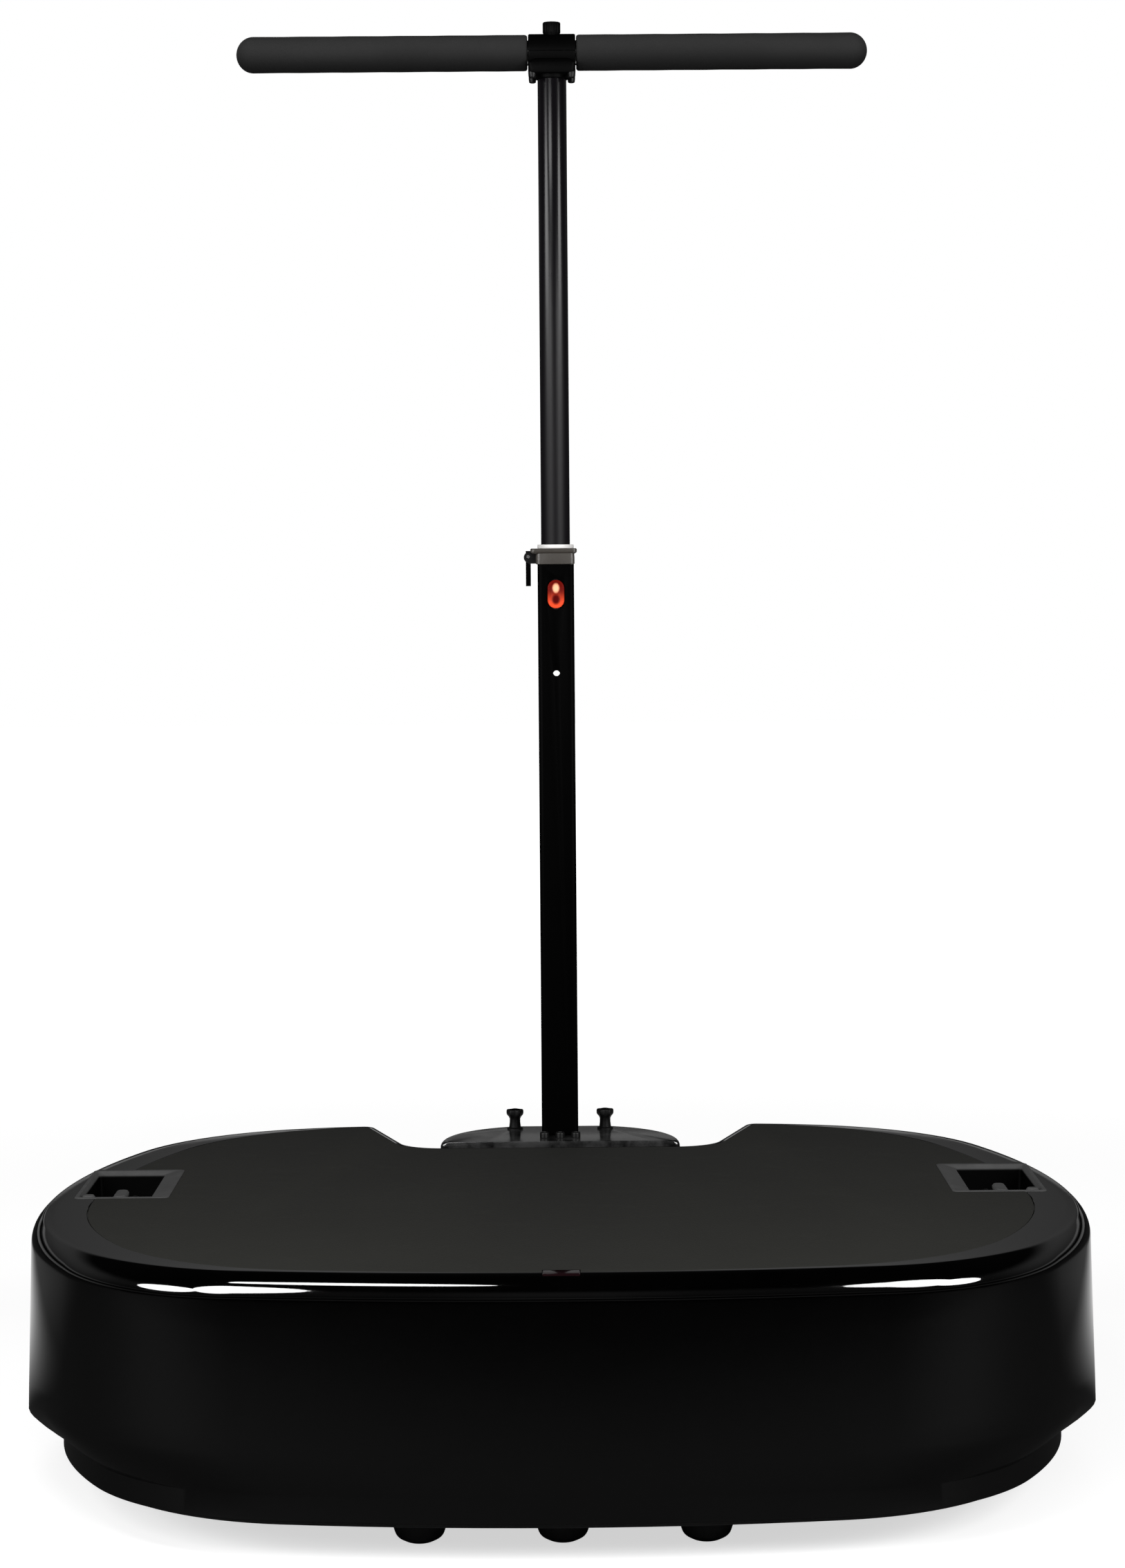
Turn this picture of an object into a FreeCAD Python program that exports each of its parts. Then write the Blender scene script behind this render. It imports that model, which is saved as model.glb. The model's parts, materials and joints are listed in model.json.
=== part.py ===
import FreeCAD, Part
import math
import os
import re

import Sketcher

# A home vibration plate: a steel deck with two shaking motors under a moulded shell and a mat.
# It rides on rubber isolators over a base pan, and a telescopic T-bar stands in a notch at the rear.
# The origin is on the floor under the middle of the plate. +X is the user's right, -Y the front.

# ---------------------------------------------------------------- sizes

SIZES = [
    # the platform, seen from above
    ("platform_width", 840, "over the two wings"),
    ("front_reach", 335, "origin to the front wall"),
    ("rear_reach", 335, "origin to the rear wall"),
    ("widest_setback", 40, "the widest line lies this far in front of the origin"),
    ("front_corner_r", 183, "middle radius of the front corners"),
    ("rear_corner_r", 186, "middle radius of the rear corners"),
    ("notch_half", 178, "half width of the rear notch at its mouth"),
    ("notch_floor", 217, "origin to the floor of the notch"),
    ("notch_outer_r", 20, "round at the mouth of the notch"),
    ("notch_inner_r", 30, "round at the floor of the notch"),
    # the platform's heights and walls
    ("deck_top", 210, "floor to the standing surface"),
    ("skirt_bottom", 33, "floor to the lower edge of the shell"),
    ("wing_bottom", 64, "floor to the lower edge of the wings"),
    ("wing_drop", 27, "sloping underside of the wings"),
    ("skirt_inset", 28, "skirt inside the wing, at the sides"),
    ("skirt_inset_front", 3, "skirt inside the wall, at the front and rear"),
    ("wall_draft", 2.2, "lean of the wall, in degrees"),
    ("top_edge_r", 8, "round of the upper edge"),
    ("shell_wall", 3.5, "thickness of the moulding"),
    ("mat_thick", 3, "rubber mat"),
    ("mat_margin", 34, "shoulder between the round and the mat, at the sides"),
    ("mat_margin_front", 1, "shoulder between the round and the mat, at the front"),
    ("mat_margin_rear", 4, "shoulder between the round and the mat, at the rear"),
    ("mat_play", 0.3, "mat inside its recess"),
    # the steel deck
    ("deck_plate_gap", 17.5, "deck plate clear of the strap wells"),
    ("deck_plate_inset", 26, "deck plate inside the front and rear walls"),
    ("deck_plate_thick", 8, "steel plate"),
    ("rail_w", 50, "width of every rail"),
    ("rail_y", 150, "rails in front of and behind the origin"),
    ("deck_rail_len", 580, "rail under the deck plate"),
    ("deck_rail_tall", 40, "rail under the deck plate"),
    ("base_rail_len", 600, "rail on the base pan"),
    ("base_rail_tall", 55, "rail on the base pan"),
    ("rail_wall", 3, "wall of every rail"),
    ("isolator_dia", 44, "rubber isolator"),
    ("isolator_x", 245, "isolators beside the origin"),
    # the strap wells
    ("well_inset", 66, "middle of a well inside the wing"),
    ("well_y", 42, "middle of a well"),
    ("well_w", 52, "opening along X"),
    ("well_len", 108, "opening along Y"),
    ("well_deep", 46, "deck to the floor of the well"),
    ("well_wall", 2.5, "moulding of the well"),
    ("well_lip", 6, "flange round the opening"),
    ("strap_bar_dia", 8, "steel bar across the well"),
    ("window_w", 27, "infrared window"),
    ("window_deep", 12, "infrared window"),
    ("window_tall", 9, "infrared window"),
    # base pan and feet
    ("pan_bottom", 26, "floor to the underside of the pan"),
    ("pan_thick", 3, "steel pan"),
    ("pan_inset", 40, "pan inside the wings"),
    ("pan_inset_front", 18, "pan inside the front wall"),
    ("foot_dia", 40, "rubber foot"),
    ("foot_flat_dia", 16, "flat under the foot"),
    ("foot_pitch", 105, "between the three front feet"),
    ("foot_front_y", 255, "front feet in front of the origin"),
    ("foot_side_inset", 100, "side feet inside the wings"),
    ("foot_side_y", 20, "side feet in front of the origin"),
    ("foot_rear_x", 230, "rear feet beside the origin"),
    ("foot_rear_y", 240, "rear feet behind the origin"),
    # motors
    ("motor_x", 165, "middle of a motor"),
    ("motor_z", 128, "axis of the motors"),
    ("motor_dia", 96, "motor housing"),
    ("motor_len", 120, "motor housing"),
    ("motor_wall", 5, "motor housing"),
    ("motor_bore_gap", 1.5, "shaft clear of the end shields"),
    ("shaft_dia", 16, "motor shaft"),
    ("bearing_dia", 35, "bearing"),
    ("bearing_w", 11, "bearing"),
    ("weight_r", 40, "eccentric weight"),
    ("weight_thick", 16, "eccentric weight"),
    ("weight_gap", 3, "weight clear of the housing"),
    ("saddle_w", 46, "strap that holds a motor to the deck"),
    ("saddle_thick", 5, "strap that holds a motor to the deck"),
    # control gear
    ("control_len", 170, "control box along X"),
    ("control_deep", 100, "control box along Y"),
    ("control_tall", 34, "control box"),
    ("control_wall", 2.5, "control box"),
    ("board_thick", 1.6, "circuit board"),
    ("post_dia", 6, "posts under the circuit board"),
    # mast housing in the notch
    ("mast_y", 268, "axis of the mast behind the origin"),
    ("cover_half", 104, "half width of the mast cover"),
    ("cover_gap", 4.5, "cover clear of the floor of the notch"),
    ("cover_rear", 307, "rear face of the mast cover"),
    ("cover_top", 212, "floor to the top of the mast cover"),
    ("cover_bow", 92, "bow of the cover's oval rear, before it is cut flat"),
    ("cover_wall", 3, "moulding of the cover"),
    ("inlet_x", 22, "inlet and switch beside the mast"),
    ("inlet_z", 92, "floor to the middle of the inlet and switch"),
    ("inlet_w", 28, "inlet and switch bodies"),
    ("inlet_tall", 22, "inlet and switch bodies"),
    ("inlet_deep", 18, "inlet body"),
    ("inlet_flange", 3, "inlet and switch flange, all round"),
    ("flange_thick", 2, "inlet and switch flange"),
    ("inlet_rim", 2.5, "inlet and switch walls"),
    ("pin_w", 2, "contact pin of the inlet"),
    ("pin_tall", 4, "contact pin of the inlet"),
    ("pin_len", 13, "contact pin of the inlet"),
    ("pin_pitch", 7, "outer pins beside the middle one"),
    ("switch_deep", 14, "switch body"),
    ("rocker_dia", 13, "round back of the rocker"),
    ("rocker_tall", 14, "face of the rocker"),
    ("rocker_proud", 3, "rocker pivot inside the rear face"),
    ("bracket_len", 110, "foot plate of the mast bracket"),
    ("bracket_deep", 50, "foot plate of the mast bracket"),
    ("bracket_thick", 5, "plates of the mast bracket"),
    ("bracket_bolt_x", 46, "bracket bolts beside the mast"),
    ("bracket_bolt_y", 16, "bracket bolts before and behind the mast"),
    ("knob_x", 40, "thumb knobs beside the mast"),
    ("knob_y", 290, "thumb knobs behind the origin"),
    ("knob_dia", 15, "head of a thumb knob"),
    ("knob_stem_dia", 10, "neck of a thumb knob"),
    ("knob_tall", 17.5, "head and neck"),
    ("knob_stud_dia", 6, "thread of a thumb knob"),
    ("pilot_pitch", 13.7, "between the three screws in front of the mast"),
    ("pilot_dia", 8, "head of such a screw"),
    # the mast
    ("tube_side", 32, "square lower tube"),
    ("tube_wall", 2, "square lower tube"),
    ("tube_round", 4, "corner round of the lower tube"),
    ("tube_top", 713, "floor to the top of the lower tube"),
    ("socket_wall", 4, "socket of the mast bracket"),
    ("socket_fit", 0.2, "lower tube in its socket"),
    ("peep_z", 617, "floor to the cross hole"),
    ("peep_dia", 6, "cross hole"),
    ("collar_tall", 14, "collar on the lower tube"),
    ("collar_over", 0.5, "collar proud of the tube, all round"),
    ("bush_fit", 0.2, "nylon bush inside the lower tube"),
    ("bush_clear", 3, "nylon bush clear of the button"),
    ("bush_lip", 3.5, "lip of the bush"),
    ("bush_lip_dia", 32, "lip of the bush"),
    ("slide_fit", 0.06, "running clearance all round, on the radius"),
    ("mast_dia", 25.4, "round upper tube"),
    ("mast_wall", 2, "round upper tube"),
    ("mast_foot", 634, "floor to the lower end of the upper tube"),
    ("glide_tall", 12, "nylon glide under the upper tube"),
    ("button_w", 14.6, "push button"),
    ("button_tall", 25, "push button"),
    ("button_z", 687, "floor to the middle of the button"),
    ("button_proud", 2.6, "button out of the tube"),
    ("button_travel", 2, "button into the tube"),
    ("button_play", 0.4, "button in its slot"),
    ("button_flange", 2, "flange of the button, inside the tube"),
    ("button_back", 0.4, "pressed button clear of the upper tube"),
    ("lever_thick", 4.3, "lock lever"),
    ("lever_w", 12, "lock lever"),
    ("lever_len", 31, "lock lever"),
    ("lever_off", 6, "lever clear of the tube"),
    ("lever_pin_dia", 3, "pin of the lever"),
    # the crossbar
    ("bar_z", 1164, "floor to the axis of the crossbar"),
    ("bar_dia", 22, "crossbar tube"),
    ("bar_wall", 1.8, "crossbar tube"),
    ("grip_span", 556, "over the ends of the grips"),
    ("grip_dia", 32, "foam grip"),
    ("grip_end", 14, "foam beyond the end of the crossbar"),
    ("hub_w", 42, "clamp hub along the crossbar"),
    ("hub_dia", 40, "clamp hub round the crossbar"),
    ("hub_stem_dia", 34, "clamp hub round the mast"),
    ("hub_stem", 30, "crossbar axis to the lower end of the hub"),
    ("hub_split", 0.6, "between saddle and cap"),
    ("hub_ear_dia", 10, "screw ear of the hub"),
    ("top_knob_dia", 16, "knob on the hub"),
    ("top_knob_tall", 7, "knob on the hub"),
    ("bolt_dia", 8, "bolts of the deck, rails and bracket"),
    ("head_tall", 5, "bolt heads"),
]

doc = FreeCAD.newDocument("vibration_plate")
sheet = doc.addObject("Spreadsheet::Sheet", "Sizes")
for row, (alias, number, meaning) in enumerate(SIZES, start=1):
    sheet.set(f"A{row}", meaning)
    sheet.set(f"B{row}", str(number))
    sheet.setAlias(f"B{row}", alias)
doc.recompute()

ALIAS = re.compile(r"\b(" + "|".join(alias for alias, _, _ in SIZES) + r")\b")
Z = FreeCAD.Vector(0, 0, 1)
subparts = []

# heights that follow from the sizes
MAT_FLOOR = "(deck_top - mat_thick)"
PLATE_TOP = f"({MAT_FLOOR} - shell_wall)"
PLATE_BOTTOM = f"({PLATE_TOP} - deck_plate_thick)"
PAN_TOP = "(pan_bottom + pan_thick)"
BASE_RAIL_TOP = f"({PAN_TOP} + base_rail_tall)"
DECK_RAIL_BOTTOM = f"({PLATE_BOTTOM} - deck_rail_tall)"
COVER_FLOOR = "(cover_top - cover_wall)"
TUBE_FRONT = "(mast_y - tube_side / 2)"
TUBE_INNER = "(mast_y - tube_side / 2 + tube_wall)"
TUBE_HOLLOW = "(tube_side - 2 * tube_wall)"
COLLAR_SIDE = "(tube_side + 2 * collar_over)"
BUSH_DIA = f"({TUBE_HOLLOW} - 2 * bush_fit)"
BUSH_FOOT = "(button_z + button_tall / 2 + button_flange + bush_clear)"
COLLAR_TOP = "(tube_top + collar_tall)"
HUB_BOTTOM = "(bar_z - hub_stem)"
TOP_INSET = "((deck_top - wing_bottom) * tan(wall_draft * 1deg) + top_edge_r)"
WELL_X = "(platform_width / 2 - well_inset)"
DECK_PLATE_HALF = f"({WELL_X} - well_w / 2 - well_wall - deck_plate_gap)"
FOOT_SIDE_X = "(platform_width / 2 - foot_side_inset)"
LEVER_X = "(-tube_side / 2 - lever_off - lever_thick / 2)"
LEVER_PIN_Z = "(tube_top + collar_tall / 2)"


# ---------------------------------------------------------------- helpers

def bind(obj, prop, text):
    """Tie a property to an expression of named sizes."""
    obj.setExpression(prop, ALIAS.sub(r"Sizes.\1", text))


def number(text):
    """The value of an expression of named sizes."""
    return float(sheet.evalExpression(text))


def move(obj, x="0", y="0", z="0"):
    """Place an object at an expression for each coordinate."""
    for axis, text in zip("xyz", (x, y, z)):
        bind(obj, f"Placement.Base.{axis}", text)
    return obj


def box(long, deep, tall, x="0", y="0", z="0"):
    """A block centred on x and y that stands on z."""
    obj = doc.addObject("Part::Box", "block")
    bind(obj, "Length", long)
    bind(obj, "Width", deep)
    bind(obj, "Height", tall)
    return move(obj, f"{x} - ({long}) / 2", f"{y} - ({deep}) / 2", z)


TURN = {
    "+Z": FreeCAD.Rotation(),
    "+X": FreeCAD.Rotation(FreeCAD.Vector(0, 1, 0), 90),
    "+Y": FreeCAD.Rotation(FreeCAD.Vector(1, 0, 0), -90),
}


def rod(dia, tall, x="0", y="0", z="0", along="+Z"):
    """A cylinder that starts at x, y, z and runs along an axis."""
    obj = doc.addObject("Part::Cylinder", "rod")
    bind(obj, "Radius", f"({dia}) / 2")
    bind(obj, "Height", tall)
    obj.Placement = FreeCAD.Placement(FreeCAD.Vector(), TURN[along])
    return move(obj, x, y, z)


def middle_rod(dia, span, x="0", y="0", z="0", along="+X"):
    """A cylinder along an axis with its middle at x, y, z."""
    start = {"+X": (f"{x} - ({span}) / 2", y, z), "+Y": (x, f"{y} - ({span}) / 2", z),
             "+Z": (x, y, f"{z} - ({span}) / 2")}[along]
    return rod(dia, span, *start, along=along)


def cone(dia_low, dia_high, tall, x="0", y="0", z="0"):
    """A cone frustum standing on z."""
    obj = doc.addObject("Part::Cone", "cone")
    bind(obj, "Radius1", f"({dia_low}) / 2")
    bind(obj, "Radius2", f"({dia_high}) / 2")
    bind(obj, "Height", tall)
    return move(obj, x, y, z)


def ball(dia, x="0", y="0", z="0"):
    """A sphere with its middle at x, y, z."""
    obj = doc.addObject("Part::Sphere", "ball")
    bind(obj, "Radius", f"({dia}) / 2")
    return move(obj, x, y, z)


def join(*shapes):
    """One solid from shapes that overlap."""
    obj = doc.addObject("Part::MultiFuse", "join")
    obj.Shapes = list(shapes)
    obj.Refine = True
    return obj


def cut(base, *tools):
    """The base less its tools."""
    for tool in tools:
        result = doc.addObject("Part::Cut", "cut")
        result.Base = base
        result.Tool = tool
        base = result
    return base


def common(base, tool):
    """What two shapes share."""
    obj = doc.addObject("Part::Common", "common")
    obj.Base = base
    obj.Tool = tool
    return obj


def group(*shapes):
    """Separate solids that share one node."""
    obj = doc.addObject("Part::Compound", "group")
    obj.Links = list(shapes)
    return obj


def rounded(base, radius, chosen):
    """The base with the chosen edges rounded; chosen tests an edge."""
    doc.recompute()
    obj = doc.addObject("Part::Fillet", "rounded")
    obj.Base = base
    size = number(radius)
    picked = [n for n, edge in enumerate(base.Shape.Edges, start=1) if chosen(edge)]
    obj.Edges = [(n, size, size) for n in picked]
    return obj


def runs_along(edge, axis):
    """True for a straight edge along an axis."""
    box_ = edge.BoundBox
    spans = {"x": box_.XLength, "y": box_.YLength, "z": box_.ZLength}
    others = [span for name, span in spans.items() if name != axis]
    return spans[axis] > 0.5 and max(others) < 1e-4


def name(label, obj):
    """Register a finished sub-part under its node name."""
    obj.Label = label
    subparts.append(obj)
    return obj


# ---------------------------------------------------------------- outlines of tangent arcs

FRONT_HEADINGS = (0.0, 8.4, 62.0, 90.0)
REAR_HEADINGS = (90.0, 112.0, 165.0, 175.0)
FULL_REAR_HEADINGS = (90.0, 112.0, 165.0, 180.0)
NOTCH_WALL_HEADING = 252.0


def outer_radii(across, along, middle, headings):
    """Radii of three tangent arcs that together run across and along; the middle one is given."""
    sines = [math.sin(math.radians(h)) for h in headings]
    cosines = [math.cos(math.radians(h)) for h in headings]
    dx = [sines[i + 1] - sines[i] for i in range(3)]
    dy = [cosines[i] - cosines[i + 1] for i in range(3)]
    rest_x = across - middle * dx[1]
    rest_y = along - middle * dy[1]
    det = dx[0] * dy[2] - dx[2] * dy[0]
    first = (rest_x * dy[2] - dx[2] * rest_y) / det
    last = (dx[0] * rest_y - rest_x * dy[0]) / det
    return first, middle, last


def half_runs(half, front, rear, notched, notch_inset):
    """Runs of the right half from the front middle to the rear middle: ("arc", radius, end heading)."""
    widest = number("widest_setback")
    runs = []
    front_radii = outer_radii(half, front - widest, number("front_corner_r"), FRONT_HEADINGS)
    runs += [("arc", r, h) for r, h in zip(front_radii, FRONT_HEADINGS[1:])]
    mouth = notch_mouth(notch_inset) if notched else 0.0
    headings = REAR_HEADINGS if notched else FULL_REAR_HEADINGS
    rear_radii = outer_radii(mouth - half, rear + widest, number("rear_corner_r"), headings)
    runs += [("arc", r, h) for r, h in zip(rear_radii, headings[1:])]
    if notched:
        runs += notch_runs(rear, notch_inset)
    return runs


def notch_mouth(inset):
    """Half width of the notch where the rear edge ends, drawn inward by the inset."""
    return number("notch_half") - inset * math.sin(math.radians(REAR_HEADINGS[-1]))


def notch_runs(rear, inset):
    """The mouth round, the slanted wall, the floor round and half of the floor of the notch."""
    outer = number("notch_outer_r") - inset
    inner = number("notch_inner_r") + inset
    lean = math.radians(NOTCH_WALL_HEADING)
    mouth = math.radians(REAR_HEADINGS[-1])
    outer_drop = outer * (math.cos(lean) - math.cos(mouth))
    inner_drop = inner * (1 + math.cos(lean))
    wall = (rear - number("notch_floor") + inset - outer_drop - inner_drop) / -math.sin(lean)
    floor = notch_mouth(inset) + outer * (math.sin(lean) - math.sin(mouth))
    floor += wall * math.cos(lean) + inner * math.sin(lean)
    return [("arc", outer, NOTCH_WALL_HEADING), ("line", wall), ("arc", -inner, 180.0), ("line", floor)]


def trace(runs, front, inset):
    """Sketch geometry of the runs and of their mirror image, moved inward by the inset."""
    x, y, heading = 0.0, inset - front, 0.0
    pieces = []
    for run in runs:
        if run[0] == "line":
            end_x = x + run[1] * math.cos(heading)
            end_y = y + run[1] * math.sin(heading)
            for side in (1, -1):
                start_point = FreeCAD.Vector(side * x, y, 0)
                pieces.append(Part.LineSegment(start_point, FreeCAD.Vector(side * end_x, end_y, 0)))
            x, y = end_x, end_y
            continue
        radius = run[1] - inset
        end = math.radians(run[2])
        centre = FreeCAD.Vector(x - radius * math.sin(heading), y + radius * math.cos(heading), 0)
        for side in (1, -1):
            pieces.append(sketch_arc(centre, radius, heading, end, side))
        x = centre.x + radius * math.sin(end)
        y = centre.y - radius * math.cos(end)
        heading = end
    return pieces


def sketch_arc(centre, radius, heading, end, side):
    """An arc between two headings; a negative radius turns right, side -1 mirrors it in X."""
    flip = 0.0 if radius > 0 else math.pi
    low = heading - math.pi / 2 + flip
    high = end - math.pi / 2 + flip
    if side < 0:
        low, high = math.pi - high, math.pi - low
        centre = FreeCAD.Vector(-centre.x, centre.y, 0)
    circle = Part.Circle(centre, Z, abs(radius))
    return Part.ArcOfCircle(circle, min(low, high), max(low, high))


def plan(half, front, rear, inset="0", notched=True, notch_inset="0"):
    """Outline of a plate: half width, front and rear reach, all moved inward by the inset."""
    reach = number(front)
    runs = half_runs(number(half), reach, number(rear), notched, number(notch_inset))
    return trace(runs, reach, number(inset))


def wall_plan(inset="0"):
    return plan("platform_width / 2", "front_reach", "rear_reach", inset)


def skirt_plan(inset="0"):
    return plan("platform_width / 2 - skirt_inset", "front_reach - skirt_inset_front",
                "rear_reach - skirt_inset_front", inset)


def mat_plan(inset="0"):
    return plan(f"platform_width / 2 - {TOP_INSET} - mat_margin", f"front_reach - {TOP_INSET} - mat_margin_front",
                f"rear_reach - {TOP_INSET} - mat_margin_rear", inset,
                notch_inset=f"{TOP_INSET} + mat_margin_front")


# ---------------------------------------------------------------- sketch-based features

def plane(body, role):
    """One of the body's own origin planes."""
    return next(item for item in body.Origin.OriginFeatures if item.Role == role)


def sketch(body, height, geometry=()):
    """A sketch on the body's XY plane, raised to a height."""
    obj = body.newObject("Sketcher::SketchObject", "outline")
    obj.AttachmentSupport = [(plane(body, "XY_Plane"), "")]
    obj.MapMode = "FlatFace"
    bind(obj, "AttachmentOffset.Base.z", height)
    for piece in geometry:
        obj.addGeometry(piece, False)
    return obj


def rectangle(obj, long, deep, x, y):
    """A rectangle centred on x and y, with every corner tied to the sizes."""
    corners = [(f"{x} - ({long}) / 2", f"{y} - ({deep}) / 2"), (f"{x} + ({long}) / 2", f"{y} - ({deep}) / 2"),
               (f"{x} + ({long}) / 2", f"{y} + ({deep}) / 2"), (f"{x} - ({long}) / 2", f"{y} + ({deep}) / 2")]
    points = [FreeCAD.Vector(number(cx), number(cy), 0) for cx, cy in corners]
    first = obj.GeometryCount
    for n in range(4):
        obj.addGeometry(Part.LineSegment(points[n], points[(n + 1) % 4]), False)
    for n in range(4):
        obj.addConstraint(Sketcher.Constraint("Coincident", first + n, 2, first + (n + 1) % 4, 1))
    for n, (cx, cy) in enumerate(corners):
        for kind, text in (("DistanceX", cx), ("DistanceY", cy)):
            index = obj.addConstraint(Sketcher.Constraint(kind, -1, 1, first + n, 1, number(text)))
            bind(obj, f"Constraints[{index}]", text)
    return obj


def pad(body, profile, length):
    """Raise a sketch."""
    obj = body.newObject("PartDesign::Pad", "pad")
    obj.Profile = profile
    bind(obj, "Length", length)
    doc.recompute()
    return obj


def loft(body, kind, low, sections):
    """Add or remove the space between a sketch and the sections above it."""
    obj = body.newObject(kind, "loft")
    obj.Profile = low
    obj.Sections = sections
    obj.Ruled = True
    doc.recompute()
    return obj


def pocket(body, profile, depth, upward=False):
    """Sink a sketch into the solid, downward unless told otherwise."""
    before = body.Shape.Volume
    obj = body.newObject("PartDesign::Pocket", "pocket")
    obj.Profile = profile
    obj.Reversed = upward
    bind(obj, "Length", depth)
    doc.recompute()
    assert body.Shape.Volume < before, f"a pocket in {body.Label} cuts nothing"
    return obj


def body(label):
    obj = doc.addObject("PartDesign::Body", label)
    return name(label, obj)


# ---------------------------------------------------------------- platform

def well_openings(obj, grow="0"):
    """The two strap wells, drawn into a sketch."""
    for side in ("", "-"):
        rectangle(obj, f"well_w + 2 * ({grow})", f"well_len + 2 * ({grow})", f"{side}{WELL_X}", "well_y")
    return obj


WINDOW_Y = f"({TOP_INSET} + mat_margin_front - front_reach)"
WELL_HOLE = "(well_wall + mat_play)"


def lean(height):
    """How far the drafted wall has moved inward at a height."""
    return f"({height} - wing_bottom) * tan(wall_draft * 1deg)"


def wall_section(obj, height, extra):
    """The wall's outline at a height, inside the drafted line by an extra amount."""
    return sketch(obj, height, wall_plan(f"{lean(height)} + {extra}"))


def make_shell():
    """The moulding: a drafted wall over a narrower skirt, hollow, with a recess for the mat."""
    shell = body("platform_shell")
    half_turn = math.sqrt(0.5)
    edge = [("deck_top - top_edge_r", "0"),
            (f"deck_top - top_edge_r * {1 - half_turn}", f"top_edge_r * {1 - half_turn}"),
            ("deck_top", "top_edge_r")]
    sections = [wall_section(shell, height, extra) for height, extra in edge]
    loft(shell, "PartDesign::AdditiveLoft", wall_section(shell, "wing_bottom", "0"), sections)
    underside = sketch(shell, "wing_bottom - wing_drop", skirt_plan())
    loft(shell, "PartDesign::AdditiveLoft", underside, [wall_section(shell, "wing_bottom", "0")])
    pad(shell, sketch(shell, "skirt_bottom", skirt_plan()), "wing_bottom - wing_drop - skirt_bottom")
    roof = wall_section(shell, PLATE_TOP, "shell_wall")
    loft(shell, "PartDesign::SubtractiveLoft", wall_section(shell, "wing_bottom + shell_wall", "shell_wall"),
         [roof])
    pocket(shell, sketch(shell, "skirt_bottom", skirt_plan("shell_wall")),
           "wing_bottom + 2 * shell_wall - skirt_bottom", upward=True)
    pocket(shell, sketch(shell, "deck_top", mat_plan("-mat_play")), "mat_thick")
    pocket(shell, well_openings(sketch(shell, "deck_top"), "well_lip + mat_play"), "mat_thick")
    pocket(shell, well_openings(sketch(shell, "deck_top"), WELL_HOLE), "mat_thick + 2 * shell_wall")
    window = rectangle(sketch(shell, "deck_top"), "window_w + 2 * mat_play", "window_deep + 2 * mat_play",
                       "0", WINDOW_Y)
    pocket(shell, window, "window_tall")


def make_mat():
    mat = body("rubber_mat")
    pad(mat, sketch(mat, MAT_FLOOR, mat_plan()), "mat_thick")
    pocket(mat, well_openings(sketch(mat, "deck_top"), "well_lip + mat_play"), "mat_thick")
    window = rectangle(sketch(mat, "deck_top"), "window_w + 2 * mat_play", "window_deep + 2 * mat_play",
                       "0", WINDOW_Y)
    pocket(mat, window, "mat_thick")


def make_window():
    name("infrared_window", box("window_w", "window_deep", "window_tall - mat_play", "0", WINDOW_Y,
                                "deck_top - window_tall + mat_play"))


def make_well(side, sign):
    """A cup with a flange round its mouth; returns the steel strap bar across it."""
    x = f"{sign}{WELL_X}"
    cup_long = "(well_w + 2 * well_wall)"
    cup_deep = "(well_len + 2 * well_wall)"
    cup = box(cup_long, cup_deep, f"well_deep + well_wall", x, "well_y", "deck_top - well_deep - well_wall")
    flange = box("well_w + 2 * well_lip", "well_len + 2 * well_lip", "mat_thick", x, "well_y", MAT_FLOOR)
    hollow = box("well_w", "well_len", "well_deep + 1", x, "well_y", "deck_top - well_deep")
    bar_z = "deck_top - well_deep / 2"
    seat = middle_rod("strap_bar_dia", f"{cup_deep} + 2", x, "well_y", bar_z, along="+Y")
    name(f"strap_well_{side}", cut(join(cup, flange), hollow, seat))
    return middle_rod("strap_bar_dia - 0.1", cup_deep, x, "well_y", bar_z, along="+Y")


def make_strap_wells():
    name("strap_bars", group(make_well("left", "-"), make_well("right", "")))


def make_deck_plate():
    plate = body("deck_plate")
    outline = plan(DECK_PLATE_HALF, "front_reach - deck_plate_inset", "rear_reach - deck_plate_inset",
                   "0", notched=False)
    pad(plate, sketch(plate, PLATE_BOTTOM, outline), "deck_plate_thick")
    rear = "rear_reach + deck_plate_inset"
    clear = sketch(plate, PLATE_TOP)
    rectangle(clear, "2 * notch_half", rear, "0", f"notch_floor - deck_plate_inset + ({rear}) / 2")
    pocket(plate, clear, "deck_plate_thick + 1")


def rail(label, long, tall, y, z):
    """A rectangular steel tube along X."""
    outer = box(long, "rail_w", tall, "0", y, z)
    inner = box(f"{long} + 2", "rail_w - 2 * rail_wall", f"{tall} - 2 * rail_wall", "0", y, f"{z} + rail_wall")
    name(label, cut(outer, inner))


def make_rails_and_isolators():
    for end, sign in (("front", "-"), ("rear", "")):
        y = f"{sign}rail_y"
        rail(f"deck_rail_{end}", "deck_rail_len", "deck_rail_tall", y, DECK_RAIL_BOTTOM)
        rail(f"base_rail_{end}", "base_rail_len", "base_rail_tall", y, PAN_TOP)
        for side, way in (("left", "-"), ("right", "")):
            height = f"{DECK_RAIL_BOTTOM} - {BASE_RAIL_TOP}"
            isolator = rod("isolator_dia", height, f"{way}isolator_x", y, BASE_RAIL_TOP)
            name(f"isolator_{end}_{side}", isolator)


def make_deck_bolts():
    """Bolt heads inside the deck rails, which hold the rails to the plate."""
    z = f"({PLATE_BOTTOM} - rail_wall - head_tall)"
    heads = [rod("bolt_dia * 1.6", "head_tall", f"{x}", f"{sy}rail_y", z)
             for sy in ("", "-") for x in ("-isolator_x", "0", "isolator_x")]
    name("deck_bolts", group(*heads))


# ---------------------------------------------------------------- base

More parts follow.
